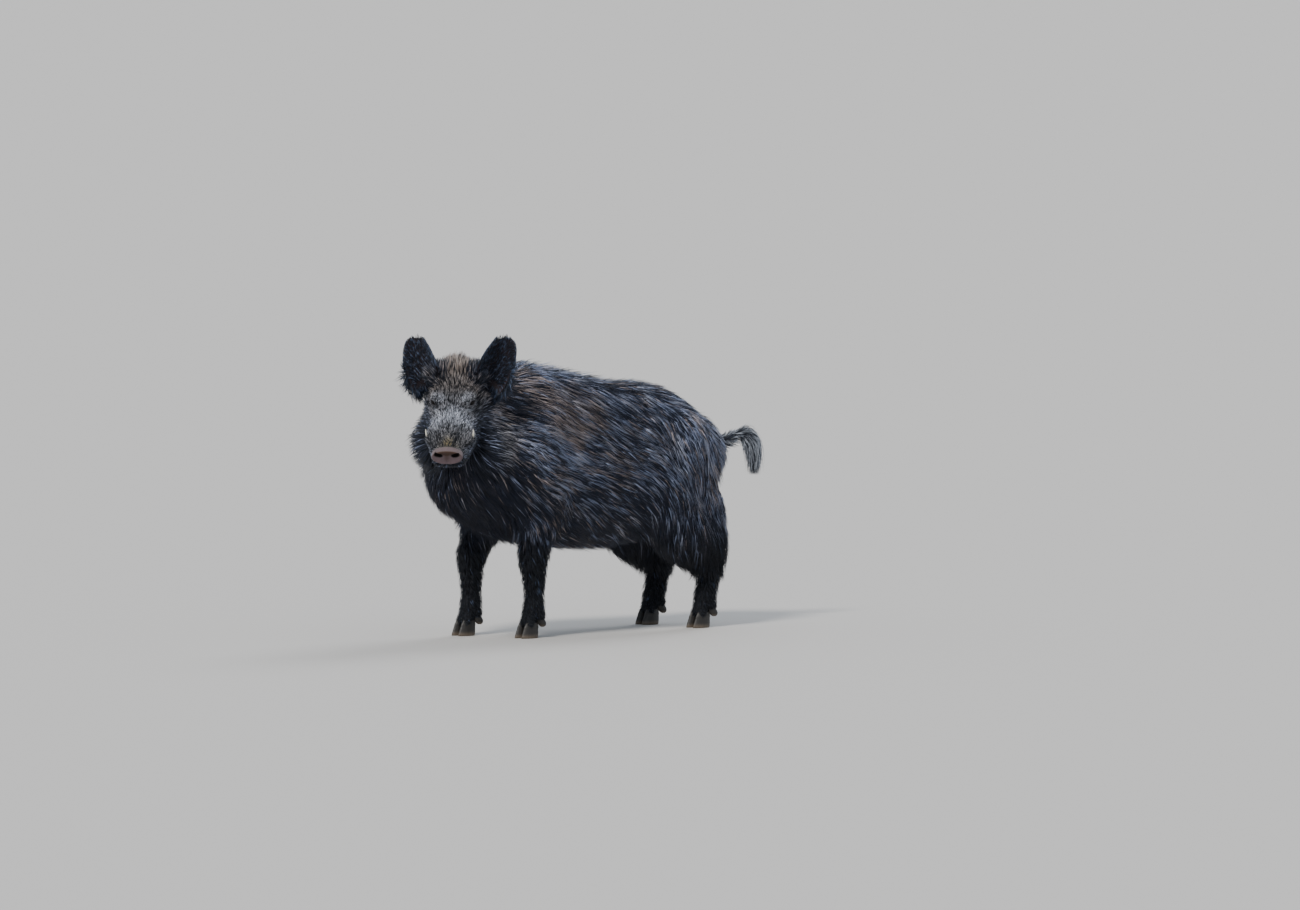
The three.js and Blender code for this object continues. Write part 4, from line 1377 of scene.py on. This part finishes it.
def grow(points, quads):
    """The roots of the tufts: closer together on the face and round the eyes."""
    corners = points[quads]
    middles = corners.mean(1)
    crosses = np.cross(corners[:, 2] - corners[:, 0], corners[:, 3] - corners[:, 1])
    areas = np.linalg.norm(crosses, axis=1) / 2
    at = regions_at(middles, crosses)
    _, depth = skin(middles)
    length = np.clip(depth * LENGTH_PER_DEPTH, *LENGTH_LIMITS)
    on_face = at("face") * ramp(length, 45, 30)
    spacing = TUFT_SPACING[0] + TUFT_SPACING[1] * length
    spacing = spacing * (1 + (FACE_SPACING - 1) * on_face + (LEG_SPACING - 1) * at("leg"))
    spacing = spacing * (1 + (EYE_SPACING - 1) * at("near_eye"))
    bare, _, _ = bareness(middles)
    chance = areas / spacing**2 * (bare < MOST_BARE) * (middles[:, 2] > FLOOR + HAIR_ABOVE_FLOOR)
    chosen = random.random(len(middles)) < chance
    quad = corners[chosen]
    a, b = random.random((2, chosen.sum(), 1))
    near = quad[:, 0] * (1 - a) + quad[:, 1] * a
    far = quad[:, 3] * (1 - a) + quad[:, 2] * a
    return settle(near * (1 - b) + far * b, 1)


def part_of(held):
    """The piece of the coat that each root belongs to, by the part that holds most."""
    labels = ["trunk", "fore", "hind", "ham", "neck", "head", "ear", "tail"]
    stack = np.stack([held[label] for label in labels])
    return np.array(labels)[stack.argmax(0)]


def tuft_sizes(roots, held, depth, at):
    """Length, rise and width of each tuft, how freely it hangs, and what it is."""
    count = len(roots)
    edge = ear_edge(roots, held)
    ruff = held["head"] * at("ruff")
    hanging = at("hanging") * (1 - held["head"]) * (1 - held["ear"])
    length = np.clip(depth * LENGTH_PER_DEPTH, *LENGTH_LIMITS)
    length = length * (1 - 0.12 * held["head"]) * (1 + 0.5 * held["ear"]) + EAR_FRINGE * edge
    length = length * (0.5 + 0.5 * at("clear_of_eye")) * (1 - 0.2 * ruff)
    under = random.random(count) < UNDERCOAT
    spread = random.random(count)
    rise = depth * np.where(under, 0.3 + 0.3 * spread, 0.7 + 0.5 * spread)
    crown = held["head"] * at("poll")
    length = length * (1 - 0.42 * crown)
    rise = rise * (1 + 0.25 * hanging + 0.2 * ruff + 0.25 * crown + held["tail"] * (0.2 + hanging))
    length = length * np.where(under, 0.75, 0.8 + 0.45 * random.random(count))
    rise = rise * np.where(random.random(count) < STRAYS, STRAY_RISE, 1.0)
    width = (TUFT_WIDTH[0] + TUFT_WIDTH[1] * length) * (0.75 + 0.5 * random.random(count))
    length = length + TUSK_TUFT[0] * at("by_tusk")
    rise = rise + TUSK_TUFT[1] * at("by_tusk")

    chance = WHISKERS * total(at, BRISTLES)
    whisker = random.random(count) < chance
    length = np.where(whisker, WHISKER_LENGTH[0] + WHISKER_LENGTH[1] * spread, length)
    rise = np.where(whisker, WHISKER_RISE * length, rise)
    width = np.where(whisker, WHISKER_WIDTH, width)
    breech = at("breech") * (1 - held["tail"])
    length = length + BREECH_LENGTH * breech
    free = np.clip(edge + whisker + 0.9 * breech + 0.4 * held["tail"], 0, 1)
    return length, rise, width, free, {"under": under, "whisker": whisker, "breech": breech}


def tuft_tracks(roots, normals, held, length, rise, free, breech):
    """Each tuft's line from its root to its tip, and the way up at its stations."""
    ways = laid(lie(roots, normals, held), normals)
    sway = 0.5 * (lumps(roots, *WIDE_SWAY) - 0.5) + 0.35 * (lumps(roots, *CLOSE_SWAY) - 0.5)
    sway = sway * (1 - 0.3 * held["head"]) + 0.1 * random.standard_normal(len(roots))
    ways = unit(ways + np.cross(normals, ways) * sway[:, None])
    ways = unit(mixed(ways, BREECH_WAY, 0.85 * breech))
    track = [roots - normals * ROOT_DEPTH]
    ups = [normals]
    place = roots
    for before, here in zip(STATIONS, STATIONS[1:]):
        place = place + ways * (length * (here - before))[:, None]
        distance, _, slope = slope_of(place)
        up = unit(slope)
        target = rise * (1 - (1 - here) ** 2)
        follow = np.clip(target - distance, *FOLLOW_LIMITS) * 0.9 * (1 - free)
        place = place + up * follow[:, None]
        fresh = laid(lie(place, up, held), up)
        fresh = unit(fresh + np.cross(up, fresh) * sway[:, None])
        bent = unit(0.45 * laid(ways, up) + 0.55 * fresh)
        ways = unit(mixed(bent, ways, free))
        place[:, 2] -= here**2 * SAG * np.clip(length - SAG_FROM, 0, SAG_OVER)
        place[:, 2] = np.maximum(place[:, 2], FLOOR + TIP_ABOVE_FLOOR)
        track.append(place)
        ups.append(up)
    return track, ups


def clumped(track, roots, length, held):
    """Leans each tuft to the nearest leading one, more towards its tip."""
    leaders = np.arange(0, len(roots), LEADERS)
    tree = KDTree(len(leaders))
    for n, leader in enumerate(leaders):
        tree.insert(roots[leader], n)
    tree.balance()
    nearest = leaders[np.array([tree.find(root)[1] for root in roots.tolist()])]
    apart = np.linalg.norm(roots - roots[nearest], axis=1)
    close = ramp(apart / (length + CLUMP_REACH), *CLUMP_EDGE)
    for station, here in enumerate(STATIONS[1:], 1):
        pull = CLUMP * here**1.5 * close * (1 - 0.5 * held["head"])
        track[station] = mixed(track[station], track[station][nearest], pull)
    return nearest


def tuft_tints(roots, normals, held, nearest, under, whisker):
    """Each tuft's colour, often like that of its leader, and how wide its tone makes it."""
    count = len(roots)
    dark, pale, share = tones(roots, normals, held)
    alike = np.where(held["head"] > 0.5, ALIKE_ON_HEAD, ALIKE)
    chance = np.where(random.random(count) < alike, random.random(count)[nearest], random.random(count))
    is_pale = chance < share
    tone = np.where(is_pale, 0.65 + 0.5 * random.random(count), 0.08 * random.random(count))
    bright = np.where(under, 0.45, 0.85 + 0.85 * random.random(count))
    tint = mixed(dark, pale, tone) * bright[:, None]
    tint[whisker] = COAT_DARK
    return tint, np.where(is_pale, 1.05 - 0.15 * held["head"], 0.95)


def round_axis(sideways, upward):
    """The turn round an axis, from 0 to 1."""
    return np.arctan2(sideways, upward) / (2 * pi) + 0.5


def coat_jobs(roots, labels):
    """Each piece of the coat: its name, its tufts, their chart and their widths."""
    head = into_head(roots)
    left = np.where(np.isin(labels, ["head", "ear"]), head[:, 1] > 0, roots[:, 0] > 0)
    x, y, z = roots.T
    body_chart = (round_axis(x, z - BODY_AXIS), y)
    head_chart = (round_axis(head[:, 1], head[:, 2] - HEAD_AXIS), head[:, 0])
    on_trunk = labels == "trunk"
    rear = y > FLANK_FROM
    for side, is_side in (("left", left), ("right", ~left)):
        yield f"coat_shoulder_{side}", on_trunk & ~rear & is_side, body_chart, SHORT_WIDTHS
        yield f"coat_flank_{side}", on_trunk & rear & is_side, body_chart, SHORT_WIDTHS
        yield f"coat_neck_{side}", (labels == "neck") & is_side, body_chart, LONG_WIDTHS
        yield f"coat_head_{side}", (labels == "head") & is_side, head_chart, SHORT_WIDTHS
        yield f"coat_ear_{side}", (labels == "ear") & is_side, ear_chart(head, side), SHORT_WIDTHS
        for label, names in (("fore", ["fore"]), ("hind", ["hind", "ham"])):
            chosen = np.isin(labels, names) & is_side
            yield f"coat_{label}_{side}", chosen, leg_chart(roots, label, side), SHORT_WIDTHS
    yield "coat_tail", labels == "tail", (round_axis(x, z - TAIL_AXIS), y), LONG_WIDTHS


def build_coat(points, quads):
    roots = grow(points, quads)
    held = weights(parts(roots))
    _, depth, slope = slope_of(roots)
    normals = unit(slope)
    at = regions_at(roots, normals)
    length, rise, width, free, kinds = tuft_sizes(roots, held, depth, at)
    track, ups = tuft_tracks(roots, normals, held, length, rise, free, kinds["breech"])
    nearest = clumped(track, roots, length, held)
    tint, wider = tuft_tints(roots, normals, held, nearest, kinds["under"], kinds["whisker"])
    material = coat_material()
    for name, chosen, chart, widths in coat_jobs(roots, part_of(held)):
        some = np.flatnonzero(chosen)
        tufts = {
            "track": [step[some] for step in track],
            "ups": [up[some] for up in ups],
            "width": (width * wider)[some],
            "tint": tint[some],
        }
        if widths is SHORT_WIDTHS:
            for steps in (tufts["track"], tufts["ups"]):
                middle = steps[1] + (steps[2] - steps[1]) * SHORT_MIDDLE
                steps[1:3] = [middle]
        coat_piece(name, tufts, np.stack(chart, 1)[some], widths, material)


def ear_chart(head, side):
    """An ear unrolled: its outside beside its inside."""
    t, angle, out, _, wrap, _ = ear_place(head, 1 if side == "left" else -1)
    return angle / (2 * wrap) + 0.5 + 1.1 * (out > 0), t


def leg_chart(roots, label, side):
    """A leg unrolled round its own bone."""
    joints = {"fore": FORE, "hind": HIND}[label][1 if side == "left" else -1]
    rows = np.array(joints)[::-1]
    middle_y = np.interp(roots[:, 2], rows[:, 2], rows[:, 1])
    middle_x = np.interp(roots[:, 2], rows[:, 2], rows[:, 0])
    return np.arctan2(roots[:, 0] - middle_x, roots[:, 1] - middle_y), roots[:, 2]


def tuft_pattern(rings):
    """The triangles of one tuft, and where each corner lies in its patch of the bake map."""
    tip = rings * 3
    faces = [[0, 2, 1]]
    spots = [[(0.0, 0.0), (0.3, 0.1), (0.6, 0.0)]]
    for ring in range(rings):
        for k in range(3):
            a = ring * 3 + k
            b = ring * 3 + (k + 1) % 3
            low = 0.12 + 0.88 * ring / rings
            high = 0.12 + 0.88 * (ring + 1) / rings
            left = k / 3
            right = (k + 1) / 3
            if ring + 1 < rings:
                faces += [[a, b, b + 3], [a, b + 3, a + 3]]
                spots += [[(left, low), (right, low), (right, high)],
                          [(left, low), (right, high), (left, high)]]
            else:
                faces.append([a, b, tip])
                spots.append([(left, low), (right, low), (left, high)])
    return np.array(faces), np.array(spots)


def coat_piece(name, tufts, chart, widths, material):
    """Many tufts as one closed mesh each, joined in one object."""
    faces, spots = tuft_pattern(len(widths))
    count = len(tufts["width"])
    track = np.stack(tufts["track"], 1)
    ups = np.stack(tufts["ups"], 1)
    ahead = unit(np.gradient(track, axis=1) + 1e-9)
    across = unit(np.cross(ahead, ups) + 1e-9)
    over = np.cross(across, ahead)
    rings = []
    for station, share in enumerate(widths):
        half = (tufts["width"] * share / 2)[:, None]
        middle = track[:, station]
        side = across[:, station] * half
        ridge = over[:, station] * half * 2 * THICKNESS
        rings += [middle - side, middle + side, middle + ridge]
    points = np.stack([*rings, track[:, -1]], 1)
    per_tuft = points.shape[1]
    all_faces = (np.arange(count)[:, None, None] * per_tuft + faces).reshape(-1, 3)
    piece = make_mesh(name, points.reshape(-1, 3), all_faces)
    mesh = piece.data

    along = np.append(np.repeat(np.arange(len(widths)) / len(widths), 3), 1.0)
    share = ramp(along, -0.1, 0.55)[None, :, None]
    tints = COAT_ROOT + (tufts["tint"][:, None] - COAT_ROOT) * share
    paint(mesh, "tint", tints.reshape(-1, 3))

    low = chart.min(0)
    size = chart.max(0) - low + 1e-6
    at = 0.01 + 0.975 * (chart - low) / size
    uv = at[:, None, None] + spots * PATCH
    layer = mesh.uv_layers.new(name="OFBake")
    layer.data.foreach_set("uv", uv.astype(np.float32).ravel())
    mesh.materials.append(material)
    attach(piece, "root")
    return piece


# --------------------------------------------------------- the tail's long hair


def switch_curve(t):
    """The middle of the hanging switch, its radius and its direction at t from 0 to 1."""
    path = np.array(SWITCH, float)
    knots = np.linspace(0, 1, len(path))
    fine = np.linspace(0, 1, 40)
    rounded = np.stack([np.interp(fine, knots, path[:, k]) for k in range(3)], 1)
    kernel = np.hanning(13)[1:-1] / np.hanning(13).sum()
    padded = np.pad(rounded, ((5, 5), (0, 0)), mode="reflect", reflect_type="odd")
    rounded = np.stack([np.convolve(padded[:, k], kernel, "valid") for k in range(3)], 1)
    at = np.stack([np.interp(t, fine, rounded[:, k]) for k in range(3)], -1)
    return at, np.interp(t, knots, SWITCH_RADII)


SWITCH_TUFTS = 1200
SWITCH_STATIONS = np.linspace(0, 1, 7)
SWITCH_WIDTHS = [0.7, 1.0, 1.0, 0.9, 0.75, 0.5]
# Where its hairs start and how far they go, as shares of its length.
SWITCH_START = 0.4
SWITCH_SPAN = [0.3, 0.6]
SWITCH_STRAY = 7
SWITCH_WAVE = 2.2
SWITCH_WIDTH = 1.2
SWITCH_PALE = 0.55


def build_switch():
    """Long wavy hairs that leave the end of the tail and hang down from it."""
    count = SWITCH_TUFTS
    start = SWITCH_START * random.random(count) ** 1.3
    end = np.clip(start + SWITCH_SPAN[0] + SWITCH_SPAN[1] * random.random(count), 0, 1)
    angle = 2 * pi * random.random(count)
    reach = random.random(count) ** 0.35
    stray = random.standard_normal((2, count)) * SWITCH_STRAY
    phase = 2 * pi * random.random(count)
    track = []
    ups = []
    for here in SWITCH_STATIONS:
        t = start + (end - start) * here
        middle, radius = switch_curve(t)
        ahead, _ = switch_curve(np.clip(t + 0.02, 0, 1))
        behind, _ = switch_curve(np.clip(t - 0.02, 0, 1))
        way = unit(ahead - behind)
        side = unit(np.cross(way, [1.0, 0.2, 0.1]))
        other = np.cross(way, side)
        out = side * np.cos(angle)[:, None] + other * np.sin(angle)[:, None]
        gather = min(1.0, 0.25 + here * 1.6)
        wave = SWITCH_WAVE * here * np.sin(phase + 5 * here)
        loose = side * (stray[0] * here + wave)[:, None] + other * (stray[1] * here**2)[:, None]
        track.append(middle + out * (radius * reach * gather)[:, None] + loose)
        ups.append(out)
    is_pale = random.random(count) < SWITCH_PALE
    tone = 0.2 * random.random(count) + 0.8 * is_pale
    tint = mixed(COAT_DARK, TAIL_GREY, tone) * (0.7 + 0.6 * random.random(count))[:, None]
    width = SWITCH_WIDTH * (1 + random.random(count))
    chart = np.stack([angle, start], 1)
    tufts = {"track": track, "ups": ups, "width": width, "tint": tint}
    coat_piece("coat_switch", tufts, chart, SWITCH_WIDTHS, bpy.data.materials["boar_coat"])


# ------------------------------------------------------- eyes, tusks and hooves


def ring_mesh(name, rings):
    """A closed mesh through rings of points, with a point at the middle of each end."""
    rings = np.asarray(rings)
    rows, sides = rings.shape[:2]
    points = np.concatenate([rings.reshape(-1, 3), rings[:1].mean(1), rings[-1:].mean(1)])
    faces = []
    for row in range(rows - 1):
        for k in range(sides):
            a = row * sides + k
            b = row * sides + (k + 1) % sides
            faces += [[a, b, b + sides], [a, b + sides, a + sides]]
    last = (rows - 1) * sides
    for k in range(sides):
        following = (k + 1) % sides
        faces.append([following, k, rows * sides])
        faces.append([last + k, last + following, rows * sides + 1])
    return make_mesh(name, points, faces)


def turns(sides):
    return np.linspace(0, 2 * pi, sides, endpoint=False)


def finish(piece, material, node, tints):
    paint(piece.data, "tint", tints)
    piece.data.materials.append(material)
    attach(piece, "root")
    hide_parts(node)


EYE_RINGS = 40
EYE_SIDES = 40
CORNEA_ANGLES = [0.62, 0.22]
CORNEA_BULGE = 0.9
PUPIL_EDGE = [0.3, 0.36]
IRIS_EDGE = [0.66, 0.76]
EYE_PUPIL = colour("050404")
EYE_IRIS = colour("110b08")
EYE_WHITE = colour("0b0908")


def build_eye(side, material):
    look = EYE_GAZE * [1, side, 1]
    slit = unit(np.array(SLIT_AXIS) * [1, side, 1])
    rise = np.cross(look, slit)
    angles = np.linspace(0.02, pi - 0.02, EYE_RINGS)
    rings = []
    for angle in angles:
        radius = EYE_RADIUS + CORNEA_BULGE * float(ramp(angle, *CORNEA_ANGLES))
        spin = turns(EYE_SIDES)[:, None]
        flat = slit * np.cos(spin) + side * rise * np.sin(spin)
        local = (look * cos(angle) + flat * sin(angle)) * radius
        rings.append(from_head(local + EYE_AT * [1, side, 1]))
    piece = ring_mesh(f"{SIDES[side]}_eyeball", rings)
    angle = np.concatenate([np.repeat(angles, EYE_SIDES), [0, pi]])
    tint = mixed(EYE_PUPIL, EYE_IRIS, ramp(angle, *PUPIL_EDGE))
    tint = mixed(tint, EYE_WHITE, ramp(angle, *IRIS_EDGE))
    finish(piece, material, f"{SIDES[side]}_eye", tint)


TUSK_RINGS = 26
TUSK_SIDES = 18
TUSK_POINT = 0.3
TUSK_OVAL = [0.82, 1.05]
TUSK_IVORY = colour("efe9d6")
TUSK_STAIN = colour("64543f")


def build_tusk(side, material):
    path = np.array(TUSK_PATH, float) * [1, side, 1]
    knots = np.linspace(0, 1, len(path))
    steps = np.linspace(0, 1, TUSK_RINGS)
    middle = np.stack([np.polyval(np.polyfit(knots, path[:, k], 3), steps) for k in range(3)], 1)
    radius = np.interp(steps, knots, TUSK_RADII)
    radius[-1] *= TUSK_POINT
    way = unit(np.gradient(middle, axis=0))
    flat = unit(np.cross(way, [1.0, 0, 0]))
    deep = np.cross(way, flat)
    spin = turns(TUSK_SIDES)[:, None]
    rings = []
    for at, size, across, along in zip(middle, radius, flat, deep):
        ring = at + size * (across * np.cos(spin) * TUSK_OVAL[0] + along * np.sin(spin) * TUSK_OVAL[1])
        rings.append(from_head(ring))
    piece = ring_mesh(f"{SIDES[side]}_tusk_ivory", rings)
    share = np.concatenate([np.repeat(steps, TUSK_SIDES), [0, 1]])
    tint = mixed(TUSK_STAIN, TUSK_IVORY, ramp(share, 0.45, 0.8))
    finish(piece, material, f"{SIDES[side]}_tusk", tint)


CLAW_RINGS = 14
CLAW_SIDES = 28
CLAW_POINT = 0.35
CLAW_SLANT = 0.16
DEWCLAW_SLANT = -0.3
HORN_DARK = colour("1c1815")
HORN_WORN = colour("5b4f42")


def hoof_profile(level):
    """The walls of a claw over its flat sole, and a low ring where the hair begins."""
    worn = 1 - 0.05 * float(ramp(level, 0.06, 0))
    return (1 - 0.3 * level**1.5) * worn + 0.05 * float(hill(level, 0.72, 0.06))


def dewclaw_profile(level):
    """The walls of a dewclaw: narrow below, and rounded where it enters the skin."""
    return 0.97 * sin(pi * (0.09 + 0.75 * level**0.8)) ** 0.8


def build_claw(name, place, size, foot, profile, slant, material):
    """A claw of horn, pointed ahead; its top lies behind its foot by the slant."""
    length, width, height = size
    x, y = place
    levels = np.linspace(0, 1, CLAW_RINGS)
    spin = turns(CLAW_SIDES)
    ahead = np.cos(spin)
    narrow = np.where(ahead > 0, 1 - CLAW_POINT * ahead * ahead, 1.0)
    rings = []
    for level in levels:
        shrink = profile(level)
        slide = slant * length * level
        rings.append(np.stack([
            x + width / 2 * shrink * np.sin(spin) * narrow,
            y - length / 2 * shrink * ahead + slide,
            np.full(CLAW_SIDES, foot + level * height),
        ], 1))
    piece = ring_mesh(f"{name}_horn", rings)
    level = np.concatenate([np.repeat(levels, CLAW_SIDES), [0, 1]])
    tint = mixed(HORN_WORN, HORN_DARK, ramp(level, 0.0, 0.35))
    finish(piece, material, name, tint)


def build_claws(material):
    for label, legs in (("fore", FORE), ("hind", HIND)):
        for side in SIDES:
            foot = legs[side][-1]
            for outward in (1, -1):
                across = side * outward
                name = f"{SIDES[side]}_{label}"
                which = "outer" if outward > 0 else "inner"
                main = (foot[0] + across * CLAW_SPACING / 2, foot[1] - FOOT_AHEAD)
                size = (SOLE_LENGTH, SOLE_WIDTH, CLAW_HEIGHT)
                build_claw(f"{name}_claw_{which}", main, size, FLOOR, hoof_profile, CLAW_SLANT, material)
                rear = (foot[0] + across * DEWCLAW_APART / 2, foot[1] + DEWCLAW_BACK)
                level = FLOOR + DEWCLAW_FOOT
                build_claw(f"{name}_dewclaw_{which}", rear, DEWCLAW_SIZE, level, dewclaw_profile,
                           DEWCLAW_SLANT, material)


# ------------------------------------------------------------- floor and lights

FLOOR_SIZE = 600.0
FLOOR_TONE = (0.46, 0.44, 0.42, 1)
SKY_TONE = (0.8, 0.89, 1.0, 1)
SKY_STRENGTH = 0.8
CAMERA_TURN = 50
CAMERA_RISE = 4
CAMERA_AWAY = 120.0
CAMERA_LENS = 1130.0
CAMERA_FAR = 400.0
VIEW_MIDDLE = np.array([115.9, 190.7, 483.8])


def stage():
    bpy.ops.mesh.primitive_plane_add(size=FLOOR_SIZE)
    floor = bpy.context.object
    floor.name = "floor"
    material, _, shader = principled("floor", Roughness=0.8)
    shader.inputs["Base Color"].default_value = FLOOR_TONE
    floor.data.materials.append(material)

    world = bpy.context.scene.world or bpy.data.worlds.new("studio")
    bpy.context.scene.world = world
    world.use_nodes = True
    background = world.node_tree.nodes["Background"]
    background.inputs["Color"].default_value = SKY_TONE
    background.inputs["Strength"].default_value = SKY_STRENGTH


def looking(name, data, azimuth, rise):
    """A light or camera that looks down from a bearing and a height in degrees."""
    piece = bpy.data.objects.new(name, data)
    turn, tilt = radians(azimuth), radians(rise)
    way = Vector((sin(turn) * cos(tilt), -cos(turn) * cos(tilt), sin(tilt)))
    piece.rotation_euler = (-way).to_track_quat("-Z", "Y").to_euler()
    bpy.context.scene.collection.objects.link(piece)
    return piece, way


def sun(name, azimuth, rise, strength, softness, tint):
    """A soft light from far away; it reaches the whole floor alike."""
    data = bpy.data.lights.new(name, "SUN")
    data.angle = radians(softness)
    data.energy = strength
    data.color = tint
    looking(name, data, azimuth, rise)


def lights():
    sun("key", azimuth=22, rise=46, strength=3.1, softness=12, tint=(1, 0.96, 0.9))
    sun("rim", azimuth=200, rise=40, strength=1.4, softness=24, tint=(0.93, 0.96, 1))


def camera():
    data = bpy.data.cameras.new("camera")
    data.lens = CAMERA_LENS
    data.clip_end = CAMERA_FAR
    eye, way = looking("camera", data, CAMERA_TURN, CAMERA_RISE)
    eye.location = Vector(to_metres(VIEW_MIDDLE)) + way * CAMERA_AWAY
    bpy.context.scene.camera = eye


# ------------------------------------------------------------------- the scene

skin_points, skin_quads = build_skin()
build_coat(skin_points, skin_quads)
build_switch()
eye_look = eye_material()
ivory = tusk_material()
for side in SIDES:
    build_eye(side, eye_look)
    build_tusk(side, ivory)
build_claws(horn_material())
stage()
lights()
camera()
